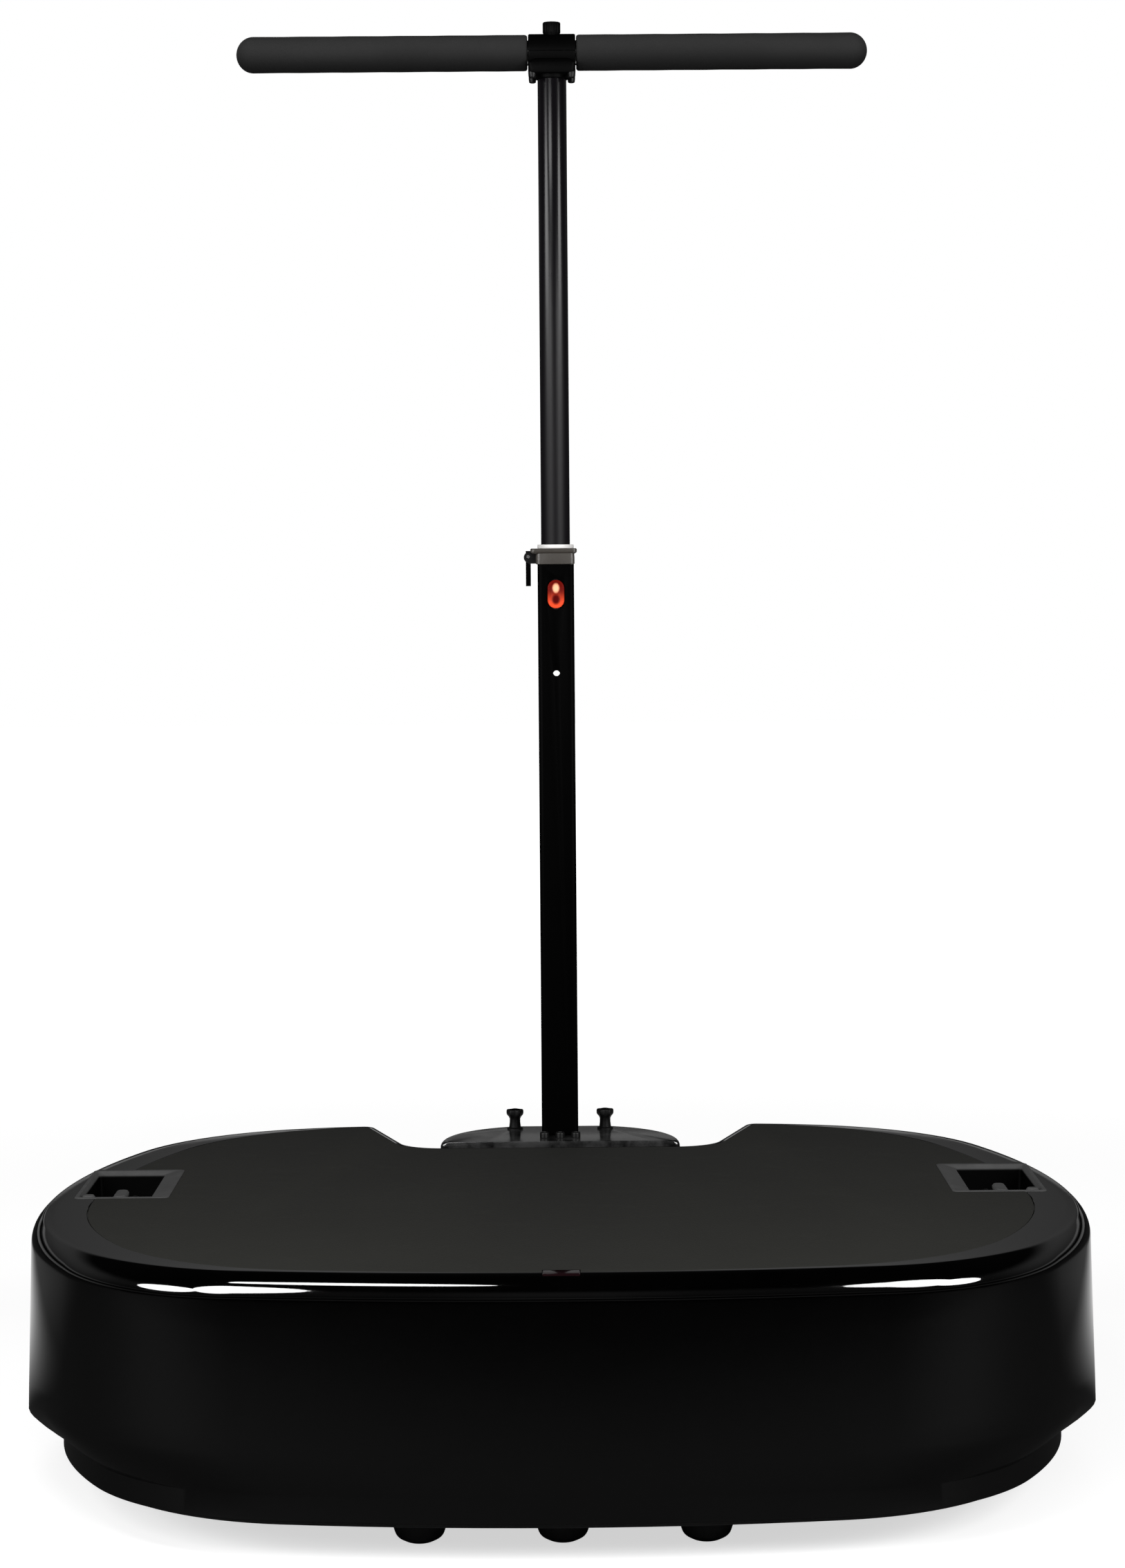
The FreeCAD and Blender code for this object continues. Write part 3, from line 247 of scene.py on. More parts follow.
world = bpy.data.worlds.new("studio")
bpy.context.scene.world = world
world.use_nodes = True
sky = Nodes(world.node_tree)
direction = sky.node("ShaderNodeTexCoord", {}, {}, "Generated")
toward_x, toward_y, toward_z = (sky.node("ShaderNodeSeparateXYZ", {}, {0: direction}, axis)
                                for axis in "XYZ")
behind = toward_y.between(-0.30, 0.50, 0.25, 1.0)
aside = abs(toward_x).between(0.04, 0.17, 1.0, 0.55)
crease = toward_z.between(0.095, 0.110) * toward_z.between(0.125, 0.150, CREASE_LIGHT, 0.0)
card = toward_z.between(0.08, 0.35, 0.40, 1.0) * toward_z.between(0.38, 0.56, 1.0, 0.03) + crease
card = toward_z.between(0.070, 0.100) * card
line = toward_z.between(-0.035, -0.005) * toward_z.between(0.015, 0.05, 1.0, 0.0)
glossy = sky.ray("Glossy")
mirrored = glossy * (behind * (card * aside * CARD_LIGHT + line * LINE_LIGHT) + ROOM_LIGHT)
seen = (sky.ray("Camera") + sky.ray("Transmission")).clipped()
plain = (1.0 - (seen + glossy).clipped()) * WORLD_AMBIENT
backdrop = world.node_tree.nodes["Background"]
sky.feed(backdrop.inputs["Color"], (1.0, 1.0, 1.0, 1.0))
sky.feed(backdrop.inputs["Strength"], seen + mirrored + plain)
print("world is ready")


# %% [markdown]
# Two large soft boxes stand in front of the object, left and right of the camera. The upright tube
# shows each as a light streak. Three smaller lamps stand nearer: the rounded front edge of the
# moulding squeezes them into thin white lines. All are oval, so that those lines run out to a point
# at both ends. A lamp's brightness in a mirror is its power over its area, so the helper takes the
# brightness and works the power out.

# %% Soft boxes
def soft_box(name, place, target, wide, tall, brightness):
    """A flat lamp that looks at a point; its brightness is what a mirror would show."""
    light = bpy.data.lights.new(name, "AREA")
    light.shape = "ELLIPSE"
    light.size, light.size_y = wide, tall
    light.energy = brightness * pi * wide * tall
    lamp = placed(name, light)
    facing = (Vector(target) - Vector(place)).to_track_quat("-Z", "Y")
    lamp.matrix_world = Matrix.Translation(place) @ facing.to_matrix().to_4x4()
    lamp.visible_camera = False


soft_box("soft_box_left", (-3.10, -2.10, 1.55), (0.0, 0.2, 0.9), 2.00, 1.20, 9.0)
soft_box("soft_box_right", (3.05, -2.05, 1.55), (0.0, 0.2, 0.9), 1.60, 1.20, 9.5)
soft_box("lens_left", (-0.86, -1.38, 0.86), (-0.22, -0.31, 0.2), 0.64, 0.66, 8.5)
soft_box("lens_right", (0.98, -1.24, 0.84), (0.25, -0.30, 0.2), 0.86, 0.56, 8.0)
soft_box("lamp_high", (-0.47, -1.20, 1.49), (-0.15, -0.31, 0.2), 0.68, 0.24, 9.0)

# %% [markdown]
# The floor is one large pale sheet that still takes the soft shadow of the plate. Far from the
# lamps it would go grey, so it glows a little there for the camera. Mirrored rays see a darker
# floor, with one light pool behind the object that rims the sides of the gloss wall.

# %% Floor
FLOOR_HALF = 12.0

floor_finish = Finish("pale_floor", Roughness=0.9, Specular_IOR_Level=0.1)
cloudy = floor_finish.noise(1.3, 2.0)
across, along = floor_finish.along("X"), floor_finish.along("Y")
sides = across * across
glow = (sides + along * along).between(0.2, 9.0, 0.62, 0.92)
pool = (along.between(0.1, 0.6) * along.between(0.85, 1.1, 1.0, 0.0)
        * (sides.between(0.30, 0.75, 0.62, 0.0) + sides.between(0.8, 3.0, 0.07, 0.0)))
seen = (floor_finish.ray("Camera") + floor_finish.ray("Transmission")).clipped()
mirrors = floor_finish.ray("Glossy")
darkened = mirrors * along.between(-1.15, -0.50, 0.999, 0.958)
floor_finish.shown({
    "Base Color": floor_finish.mixed(darkened, floor_finish.mixed(cloudy, 0.56, 0.60), 0.0),
    "Emission Color": floor_finish.mixed(seen * glow + mirrors * pool, 0.0, 1.0),
    "Emission Strength": 1.0,
})
sheet = bmesh.new()
bmesh.ops.create_grid(sheet, x_segments=1, y_segments=1, size=FLOOR_HALF)
floor_mesh = bpy.data.meshes.new("floor")
sheet.to_mesh(floor_mesh)
floor_mesh.materials.append(floor_finish.material)
placed("floor", floor_mesh)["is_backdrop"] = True
print("floor", 2 * FLOOR_HALF, "m across")

# %% [markdown]
# ## Finishes
# ### Gloss moulding
# The platform's shell and the mast cover are moulded in black plastic and polished like a piano.
# Such a surface is almost a mirror, but not a perfect one: it has a faint orange-peel ripple, and
# fine dust and hand marks make it a little rougher in patches.

# %% Gloss moulding
def make_gloss(name, peel_size, peel_depth, rough, body=(0.0001, 0.0002)):
    """Polished black: ripple of a size and depth, roughness in patches, and a colour under it that
    varies between the two body levels in patches of painted reflection.
    """
    gloss = Finish(name, IOR=1.9)
    peel = gloss.noise(peel_size, 2.0)
    marks = gloss.noise(14.0, 5.0, 0.62).between(0.45, 0.75)
    painted_reflection_patches = gloss.noise(38.0, 4.0, 0.65).between(0.35, 0.65)
    dust = gloss.noise(900.0, 2.0).between(0.66, 0.74)
    # Painted reflection: patches between the two body colours; on the cover they are lighter grey
    # patches.
    colour = gloss.mixed(dust * 0.08, gloss.mixed(painted_reflection_patches, *body), grey(0.004, 0.05))
    return gloss.surface(colour, rough + marks * 0.035 + dust * 0.06, peel, peel_depth, 0.35)


# %% [markdown]
# ### Rubber mat
# The mat is a dull olive-grey sheet with a fine pebbled face, so that bare feet hold on it. The
# pebbles are cells a millimetre and a half across; noise alone would look like sand.

# %% Mat rubber
def make_mat_rubber():
    rubber = Finish("mat_rubber", Specular_IOR_Level=0.22, IOR=1.45)
    pebbles = rubber.cells(620.0)
    drift = rubber.noise(7.0, 4.0, 0.6)
    tread = rubber.noise(24.0, 4.0, 0.6).between(0.5, 0.8)
    shade = rubber.mixed(drift, (0.0150, 0.0150, 0.0130, 1.0), (0.0176, 0.0176, 0.0152, 1.0))
    colour = rubber.mixed(tread * 0.12, shade, (0.030, 0.030, 0.027, 1.0))
    return rubber.surface(colour, 0.80 + drift * 0.12 - tread * 0.08, 1.0 - pebbles, 0.00035, 0.55)


# %% [markdown]
# ### Satin plastic, powder paint and bare metal
# Most other parts share one recipe: a fine grain, slow variation in roughness, and edges that
# have been rubbed a little lighter. What differs is the colour, the size of the grain and how deep
# it is. So one function makes them all.

# %% Grained finish
def make_grained(name, dark, light, rough, grain, depth, rubbed=None, metal=0.0, level=0.5):
    """A finish with fine grain, patches of sheen and edges rubbed towards another colour."""
    made = Finish(name, Metallic=metal, Specular_IOR_Level=level)
    patches = made.noise(18.0, 4.0, 0.6)
    fine = made.noise(grain, 3.0, 0.65)
    colour = made.mixed(patches * 0.6 + fine * 0.4, dark, light)
    if rubbed:
        colour = made.mixed(made.edges(0.0009) * (0.35 + patches * 0.5), colour, rubbed)
    return made.surface(colour, (rough - 0.07) + patches * 0.10 + fine * 0.06, fine, depth, 0.6)


# %% [markdown]
# ### Well plastic
# A strap well is moulded in grey plastic. Its border catches the light and its inside is nearly
# black, because no light gets down there. The finish helps that along by darkening with depth.

# %% Well plastic
def make_well_plastic():
    well = Finish("well_plastic", Specular_IOR_Level=0.02)
    depth = well.along("Z").between(DECK - 0.0042, DECK - 0.0020)
    fine = well.noise(520.0, 3.0, 0.6)
    patches = well.noise(60.0, 3.0, 0.6)
    border = well.mixed(patches, 0.042, 0.072)
    colour = well.mixed(depth, 0.0002, border)
    return well.surface(colour, 0.46 + patches * 0.10 + fine * 0.05, fine, 0.0001, 0.6)


# %% [markdown]
# ### Turned and drawn metal
# A shaft or a drawn tube has long fine lines along its length or round it. Noise that is squeezed
# along one axis gives such lines. The upper mast tube slides in a bush, which rubs the lower part of
# the tube duller.

# %% Drawn metal
def make_drawn(name, dark, light, rough, squeeze, metal=1.0, ior=1.5, worn=None):
    """A finish with fine lines; the squeeze is large across the lines and small along them.
    Worn is two heights and a colour: below the first all is scuffed, above the second nothing."""
    made = Finish(name, Metallic=metal, IOR=ior)
    lines = made.noise(1.0, 3.0, 0.6, made.stretched(squeeze))
    patches = made.noise(11.0, 4.0, 0.6)
    colour = made.mixed(lines * 0.5 + patches * 0.4, dark, light)
    dull = patches * 0.04
    if worn:
        foot, top, shade = worn
        scuffed = made.along("Z").between(foot, top, 1.0, 0.0)
        colour = made.mixed(scuffed, colour, shade)
        dull = dull + scuffed * 0.28
    return made.surface(colour, (rough - 0.03) + lines * 0.06 + dull, lines, 0.00003, 0.35)


# %% [markdown]
# ### Foam
# The grips are closed-cell foam, charcoal and quite dull, with tiny open pores and a skin that is
# a little shiny where hands polish it. Their colour is painted lighter on the upper side and
# darker on the lower, as painted light from above.

# %% Foam
FOAM_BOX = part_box("foam_grip_right")


def make_foam():
    foam = Finish("charcoal_foam", Specular_IOR_Level=0.3)
    pores = foam.cells(1500.0)
    skin = foam.noise(30.0, 5.0, 0.65)
    held = foam.noise(9.0, 2.0).between(0.4, 0.7)
    # Painted light: the foam's colour runs from nearly black at the bottom to lighter at the top.
    upper = foam.along("Z").between(FOAM_BOX[0].z, FOAM_BOX[1].z, 0.05, 1.0)
    shade = foam.mixed(upper * (0.75 + skin * 0.25), 0.0002, 0.0265)
    colour = foam.mixed(pores.between(0.0, 0.35, 0.6, 0.0), shade, 0.003)
    relief = pores * 0.7 + skin * 0.3
    return foam.surface(colour, 0.86 - held * 0.14 + skin * 0.08, relief, 0.00035, 0.6)


# %% [markdown]
# ### Push button with painted light
# The button is clear red-orange plastic. Its colour carries a painted highlight at its upper end,
# where it is nearly peach, and a painted reflection in the lower part of its rim, and the hollow in
# the middle stays deep red. The colour is also emitted, as a painted glow.

# %% Button plastic
def make_button_plastic(middle, half_wide, half_tall):
    """Colour by the place on the button's face, from its middle and half sizes."""
    lit = Finish("button_plastic", Specular_IOR_Level=0.04, Emission_Strength=0.30)
    across = (lit.along("X") - middle.x) * (1.0 / half_wide)
    up = (lit.along("Z") - middle.z) * (1.0 / half_tall)
    # Painted highlight: a peach spot near the upper end of the face.
    painted_highlight_up = up - 0.42
    painted_highlight = (across * across * 3.4 + painted_highlight_up * painted_highlight_up * 5.0).between(0.05, 0.85, 1.0, 0.0)
    well_up = up + 0.38
    hollow = (across * across * 1.5 + well_up * well_up * 3.0).between(0.1, 0.62, 1.0, 0.0)
    # Painted reflection: the rim is bright orange at its lower end and dark red towards its upper
    # end.
    rim = lit.mixed(up.between(-0.9, 0.35), (0.66, 0.062, 0.020, 1.0), (0.11, 0.004, 0.002, 1.0))
    body = lit.mixed(hollow, rim, (0.060, 0.001, 0.001, 1.0))
    colour = lit.mixed(painted_highlight, body, (0.95, 0.42, 0.24, 1.0))
    # Painted glow: the colour is also emitted, so the button shines though it is no lamp.
    lit.shown({"Emission Color": colour})
    return lit.surface(colour, 0.35, lit.noise(500.0, 2.0), 0.00004, 0.4)


# %% [markdown]
# ### Circuit board
# The board hides inside the control box. Its solder mask is green, with lighter tracks under it.

# %% Board
def make_board():
    board = Finish("circuit_board")
    grid = board.node("ShaderNodeTexBrick", {"offset": 0.5},
                      {"Vector": board.place(), "Color1": grey(1.0), "Color2": grey(0.0),
                       "Mortar": grey(0.5), "Scale": 90.0, "Mortar Size": 0.05}, "Fac")
    tracks = board.cells(160.0, "DISTANCE_TO_EDGE").between(0.02, 0.05, 1.0, 0.0)
    colour = board.mixed((tracks * 0.5 + grid * 0.3).clipped(), (0.008, 0.055, 0.022, 1.0),
                         (0.03, 0.16, 0.06, 1.0))
    return board.surface(colour, 0.3, tracks, 0.00006, 0.5)


# %% All finishes by name
finishes = {
    "gloss": make_gloss("gloss_moulding", 95.0, 0.00005, 0.030),
    # The cover's lighter body colours paint patches of reflection.
    "cover_gloss": make_gloss("cover_moulding", 42.0, 0.00035, 0.16, (0.003, 0.030)),
    "mat": make_mat_rubber(),
    "foam": make_foam(),
    "board": make_board(),
    "well": make_well_plastic(),
    "black_plastic": make_grained("black_plastic", 0.0016, 0.0035, 0.46, 800.0, 0.00006, 0.010,
                                  level=0.14),
    "tube_satin": make_grained("satin_powder_paint", 0.0003, 0.0007, 0.42, 1100.0, 0.00003, 0.003,
                               level=0.015),
    "hub": make_grained("hub_moulding", 0.0005, 0.0012, 0.50, 800.0, 0.00006, 0.004, level=0.05),
    "rocker": make_grained("rocker_plastic", 0.010, 0.016, 0.30, 700.0, 0.00004, 0.05),
    "black_steel": make_grained("powder_painted_steel", 0.006, 0.013, 0.52, 900.0, 0.00012, 0.05),
    "rubber": make_grained("foot_rubber", 0.005, 0.011, 0.72, 420.0, 0.00015, level=0.3),
    "bolt": make_grained("blackened_bolts", 0.010, 0.022, 0.38, 900.0, 0.00004, 0.12, metal=0.8),
    "collar": make_grained("cast_collar", (0.026, 0.022, 0.019, 1), (0.056, 0.050, 0.042, 1), 0.36,
                           600.0, 0.00010, (0.10, 0.09, 0.08, 1)),
    "nylon": make_grained("white_nylon", grey(0.62, 0.02), grey(0.72, 0.02), 0.42, 500.0, 0.00005),
    "motor": make_grained("motor_casting", grey(0.16, 0.02), grey(0.24, 0.02), 0.48, 380.0, 0.00025,
                          0.4, metal=0.7),
    "control": make_grained("control_box_plastic", 0.04, 0.06, 0.5, 500.0, 0.00008, 0.1),
    "window": make_grained("smoked_acrylic", (0.004, 0.0012, 0.0016, 1), (0.008, 0.002, 0.003, 1),
                           0.10, 200.0, 0.00001),
    "tube_gloss": make_drawn("gloss_drawn_tube", 0.0022, (0.0042, 0.0034, 0.0050, 1), 0.15,
                             (260.0, 260.0, 6.0), metal=0.0, ior=1.31,
                             worn=(0.80, 1.08, (0.0022, 0.0016, 0.0027, 1))),
    "steel": make_drawn("bright_steel", 0.42, 0.60, 0.24, (14.0, 700.0, 700.0)),
    "brass": make_drawn("brass_pins", (0.55, 0.36, 0.12, 1), (0.75, 0.52, 0.20, 1), 0.22,
                        (700.0, 14.0, 700.0)),
}
print(len(finishes), "finishes")

# %% [markdown]
# ## Turning mesh work into pieces
# Every new piece ends the same way: doubled points are merged, faces are made to look outwards,
# smooth shading is broken at sharp edges, the piece is told which moving body it rides on, and the
# parts of the engineering model that it stands for are hidden.

# %% Finish a piece
DOUBLE = 2e-6


def piece(name, mesh_work, finish, body, stands_for, sharp=35.0):
    """A finished object from a bmesh."""
    bmesh.ops.remove_doubles(mesh_work, verts=mesh_work.verts, dist=DOUBLE)
    bmesh.ops.recalc_face_normals(mesh_work, faces=mesh_work.faces)
    for face in mesh_work.faces:
        face.smooth = True
    mesh = bpy.data.meshes.new(name)
    mesh_work.to_mesh(mesh)
    mesh_work.free()
    mesh.set_sharp_from_angle(angle=radians(sharp))
    mesh.materials.append(finishes[finish])
    made = placed(name, mesh)
    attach(made, body)
    if stands_for:
        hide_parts(*stands_for)
    print(name, len(mesh.polygons), "faces")
    return made


# %% [markdown]
# ## The outline of the platform
# Seen from above the platform is a rounded shape with a notch at the rear for the mast. Its edge is
# a chain of arcs that flow into each other. Each arc is spun from the last point of the one before
# it, for the right half only, and the half is mirrored at the end. A smaller outline, such as the
# mat's, keeps the same directions and gets new radii. Points typed in one by one would show as
# corners in the gloss.

# %% Outline sizes
REACH_X, REACH_FRONT, REACH_REAR = cad_high.x, -cad_low.y, 0.335
WIDEST_Y = -0.040
FRONT_CORNER, REAR_CORNER = 0.183, 0.186
FRONT_HEADINGS = [radians(a) for a in (0.0, 8.4, 62.0, 90.0)]
REAR_HEADINGS = [radians(a) for a in (90.0, 112.0, 165.0, 175.0)]
NOTCH_HEADING = radians(252.0)
NOTCH_HALF, NOTCH_FLOOR = 0.178, 0.217
NOTCH_OUTER, NOTCH_INNER = 0.020, 0.030
ARC_STEPS = (36, 44, 36, 26, 44, 24)
NOTCH_STEPS = (14, 12, 12, 10)


def three_radii(across, along, middle, headings):
    """Radii of three flowing arcs that together run across and along; the middle one is given."""
    run_x = [sin(b) - sin(a) for a, b in zip(headings, headings[1:])]
    run_y = [cos(a) - cos(b) for a, b in zip(headings, headings[1:])]
    rest = Vector((across - middle * run_x[1], along - middle * run_y[1]))
    first, last = Matrix(((run_x[0], run_x[2]), (run_y[0], run_y[2]))).inverted() @ rest
    return first, middle, last


def plate_runs(cut):
    """The right half's arcs as (radius, heading, steps) and lines as (None, length, steps).
    The cut says how far the sides, front, rear, notch and corners are moved inward."""
    side, front, rear, notch, corner = cut
    half = REACH_X - side
    front_radii = three_radii(half, REACH_FRONT - front + WIDEST_Y, FRONT_CORNER - corner,
                              FRONT_HEADINGS)
    mouth = NOTCH_HALF - notch * sin(REAR_HEADINGS[-1])
    rear_y = REACH_REAR - rear
    rear_radii = three_radii(mouth - half, rear_y - WIDEST_Y, REAR_CORNER - corner, REAR_HEADINGS)
    outer, inner = NOTCH_OUTER - notch, NOTCH_INNER + notch
    drop = outer * (cos(NOTCH_HEADING) - cos(REAR_HEADINGS[-1])) + inner * (1 + cos(NOTCH_HEADING))
    wall = (rear_y - NOTCH_FLOOR + notch - drop) / -sin(NOTCH_HEADING)
    level = mouth + outer * (sin(NOTCH_HEADING) - sin(REAR_HEADINGS[-1]))
    level += wall * cos(NOTCH_HEADING) + inner * sin(NOTCH_HEADING)
    headings = FRONT_HEADINGS[1:] + REAR_HEADINGS[1:]
    runs = [(r, h, n) for r, h, n in zip((*front_radii, *rear_radii), headings, ARC_STEPS)]
    return runs + [(outer, NOTCH_HEADING, NOTCH_STEPS[0]), (None, wall, NOTCH_STEPS[1]),
                   (-inner, pi, NOTCH_STEPS[2]), (None, level, NOTCH_STEPS[3])]


# %% [markdown]
# One function walks along the runs. An arc is a point spun round the arc's centre, and a line is the
# same point pushed forward in equal steps.

# %% Walk along an outline
def walk(work, start, heading, runs):
    """Edges of a chain of arcs and lines from a start point, at the start's height."""
    tip = work.verts.new(start)
    before = set(work.edges)
    for radius, amount, steps in runs:
        if radius is None:
            step = Vector((cos(heading), sin(heading), 0.0)) * (amount / steps)
            for _ in range(steps):
                grown = bmesh.ops.extrude_vert_indiv(work, verts=[tip])
                tip = grown["verts"][0]
                bmesh.ops.translate(work, verts=[tip], vec=step)
            continue
        aside = Vector((-sin(heading), cos(heading), 0.0)) * radius
        spun = bmesh.ops.spin(work, geom=[tip], cent=tip.co + aside, axis=(0, 0, 1),
                              angle=amount - heading, steps=steps)
        tip = spun["geom_last"][0]
        heading = amount
    return [edge for edge in work.edges if edge not in before]


def plate_row(work, cut, height):
    """One level line round the right half of the platform."""
    return walk(work, (0.0, cut[1] - REACH_FRONT, height), 0.0, plate_runs(cut))


def skin(work, rows):
    """Bridges each row of edges to the next."""
    for low, high in zip(rows, rows[1:]):
        bmesh.ops.bridge_loops(work, edges=low + high)


def blend_cuts(first, second, share):
    return tuple(a + (b - a) * share for a, b in zip(first, second))


def close_half(work, row):
    """Fills a half outline with one flat face, closed along the middle line."""
    ends = [v for v in {v for e in row for v in e.verts} if abs(v.co.x) < DOUBLE]
    seam = work.edges.new(ends)
    bmesh.ops.edgeloop_fill(work, edges=row + [seam])


def closed_half(work, rows):
    """The right half of a body: the rows are joined, and the first and the last filled."""
    skin(work, rows)
    close_half(work, rows[0])
    close_half(work, rows[-1])


def mirrored_half(work):
    """Adds the left half."""
    bmesh.ops.mirror(work, geom=work.verts[:] + work.edges[:] + work.faces[:], axis="X",
                     merge_dist=DOUBLE)


# %% [markdown]
# A square hole is cut by slicing the surface along the four sides of the hole and throwing away
# what lies inside. A boolean would do it too, but slicing leaves clean straight edges and never
# fails on a gloss surface.

# %% Cut a hole
def cut_hole(work, low, high, below, above):
    """Removes the surface inside a rectangle, between two heights."""
    for axis in (0, 1):
        for corner in (low, high):
            point, normal = Vector((0, 0, 0)), Vector((0, 0, 0))
            point[axis], normal[axis] = corner[axis], 1.0
            near = [f for f in work.faces
                    if max(v.co.z for v in f.verts) > below and touches(f, low, high)]
            geometry = set(near)
            for face in near:
                geometry.update(face.edges, face.verts)
            bmesh.ops.bisect_plane(work, geom=list(geometry), plane_co=point, plane_no=normal,
                                   dist=DOUBLE)
    inside = [f for f in work.faces if inside_box(f.calc_center_median(), low, high, below, above)]
    bmesh.ops.delete(work, geom=inside, context="FACES")
    return inside


def touches(face, low, high):
    xs = [v.co.x for v in face.verts]
    ys = [v.co.y for v in face.verts]
    return min(xs) < high[0] and max(xs) > low[0] and min(ys) < high[1] and max(ys) > low[1]


def inside_box(point, low, high, below, above):
    return (low[0] < point.x < high[0] and low[1] < point.y < high[1] and below < point.z < above)


# %% [markdown]
# ## The shell
# The shell is one moulding. From the edge of the mat a shoulder falls gently and turns into the
# wall. The wall leans outward on its way down, rolls under at the sides and meets a narrower skirt.
# Inside it is hollow, as a real moulding is. It is made of level lines, one below the other, joined
# by bridging; the spacing of the lines is the profile of the wall.

# %% Shell profile
MAT_THICK = 0.003
WALL_FOOT = 0.056
LEAN = tan(radians(1.3))
SKIRT_TOP, SKIRT_FOOT = 0.037, 0.033
SHELL_WALL = 0.0035
MAT_CUT = (0.0476, 0.0146, 0.0176, 0.0146, 0.0)
SKIRT_CUT = (0.028, 0.0004, 0.0004, 0.0, 0.0)
ARCS = ((0.006, radians(80), radians(50)), (0.024, radians(50), 0.0))


def even_cut(inset):
    return (inset,) * 5


def wall_cut(height, inside=0.0):
    """The wall's line at a height: the sides lean, the front and rear stand upright."""
    lean = 0.0010 + max(0.0, (height - 0.060) * LEAN)
    return (lean + inside, inside, inside, inside, inside + lean / 2)


def edge_section():
    """The rounded edge in section, as steps (outward, down) that start where the ledge ends."""
    out, down, steps = 0.0, 0.0, []
    for radius, first, last in ARCS:
        for n in range(1, 7):
            tilt = first + (last - first) * n / 6
            steps.append((out + radius * (cos(tilt) - cos(first)),
                          down + radius * (sin(first) - sin(tilt))))
        out, down = steps[-1]
    return steps


# %% [markdown]
# The lower edge of the wall isn't level. It is lowest in the middle of each side and rises towards
# the corners, where the side runs into the front. So the lower lines are lifted, more where the
# outline is further from the middle of the side.

# %% Lift of the lower lines
LIFT_TOP = 0.130
WALL_LIFT, SKIRT_LIFT = 0.026, 0.014
LEVEL_HALF, LIFTED_HALF = 0.02, 0.15


def eased_share(value, none, full):
    """0 at one value and 1 at the other, with a soft start and end."""
    share = min(1.0, max(0.0, (value - none) / (full - none)))
    return share * share * (3 - 2 * share)


def lift(row):
    """Raises a row's points towards the corners, by how low the row lies."""
    for point in {v for e in row for v in e.verts}:
        height = point.co.z
        size = WALL_LIFT * eased_share(height, LIFT_TOP, WALL_FOOT)
        if height < WALL_FOOT:
            tucked = max(0.0, height - SKIRT_TOP) / (WALL_FOOT - SKIRT_TOP)
            size = SKIRT_LIFT + (WALL_LIFT - SKIRT_LIFT) * tucked
        if height > SKIRT_FOOT + 0.002:
            aside = abs(point.co.y - WIDEST_Y)
            point.co.z += size * eased_share(aside, LEVEL_HALF, LIFTED_HALF)
    return row


def shell_rows(work):
    """Level lines of the outside, from the edge of the mat to the foot of the skirt, then inside."""
    edge_cut = tuple(a - 0.0003 for a in MAT_CUT)
    rows = [plate_row(work, edge_cut, DECK - MAT_THICK),
            plate_row(work, edge_cut, DECK - 0.0006),
            plate_row(work, tuple(a - 0.0004 for a in edge_cut), DECK - 0.0001)]
    steps = edge_section()
    round_out, round_down = steps[-1]
    head_height = DECK - 0.0005 - round_down
    head = wall_cut(head_height)
    ledge = [max(0.0, a - b - round_out) for a, b in zip(edge_cut[:4], head[:4])]
    run = edge_cut[0] - head[0]

    def line(gone, out, height):
        cuts = [a - part * gone - out for a, part in zip(edge_cut, ledge)]
        share = (ledge[0] * gone + out) / run
        rows.append(plate_row(work, (*cuts, edge_cut[4] + (head[4] - edge_cut[4]) * share), height))

    for gone in (0.25, 0.5, 0.75, 1.0):
        line(gone, 0.0, DECK - 0.0001 - 0.0004 * gone ** 1.5)
    for out, down in steps:
        line(1.0, out, DECK - 0.0005 - down)
    for share in (0.15, 0.32, 0.48, 0.62, 0.75, 0.87, 1.0):
        height = head_height + (WALL_FOOT - head_height) * share
        rows.append(lift(plate_row(work, wall_cut(height), height)))
    tuck = ((0.05, 0.0530), (0.15, 0.0502), (0.30, 0.0472), (0.50, 0.0436), (0.75, 0.0400),
            (0.94, 0.0376), (1.0, SKIRT_TOP))
    for share, height in tuck:
        rows.append(lift(plate_row(work, blend_cuts(wall_cut(WALL_FOOT), SKIRT_CUT, share), height)))
    rows.append(plate_row(work, SKIRT_CUT, SKIRT_FOOT + 0.0008))
    rows.append(plate_row(work, tuple(a + 0.0008 for a in SKIRT_CUT), SKIRT_FOOT))
    inner_skirt = tuple(a + SHELL_WALL for a in SKIRT_CUT)
    rows.append(plate_row(work, inner_skirt, SKIRT_FOOT))
    rows.append(lift(plate_row(work, inner_skirt, 0.0410)))
    for height in (0.0620, 0.1200, 0.1800):
        rows.append(lift(plate_row(work, wall_cut(height, SHELL_WALL), height)))
    rows.append(plate_row(work, even_cut(0.022), DECK - MAT_THICK - SHELL_WALL))
    return rows


# %% Shell
WELL_LOW, WELL_HIGH = (0.3155, -0.020), (0.3860, 0.104)
WINDOW_LEFT, WINDOW_HIGH = -0.01, (0.0138, -0.3138)
HOLE_FOOT, HOLE_TOP = 0.200, 0.250

shell = bmesh.new()
closed_half(shell, shell_rows(shell))
cut_hole(shell, WELL_LOW, WELL_HIGH, 0.190, HOLE_TOP)
cut_hole(shell, (WINDOW_LEFT, -0.3262), WINDOW_HIGH, HOLE_FOOT, HOLE_TOP)
mirrored_half(shell)
piece("shell_moulding", shell, "gloss", "platform", ["platform_shell"])

# %% [markdown]
# ## The mat
# The mat lies in a shallow recess and its edge is slightly rounded. It is made of the same kind of
# level lines, and the two strap wells and the sensor window are cut out of it.

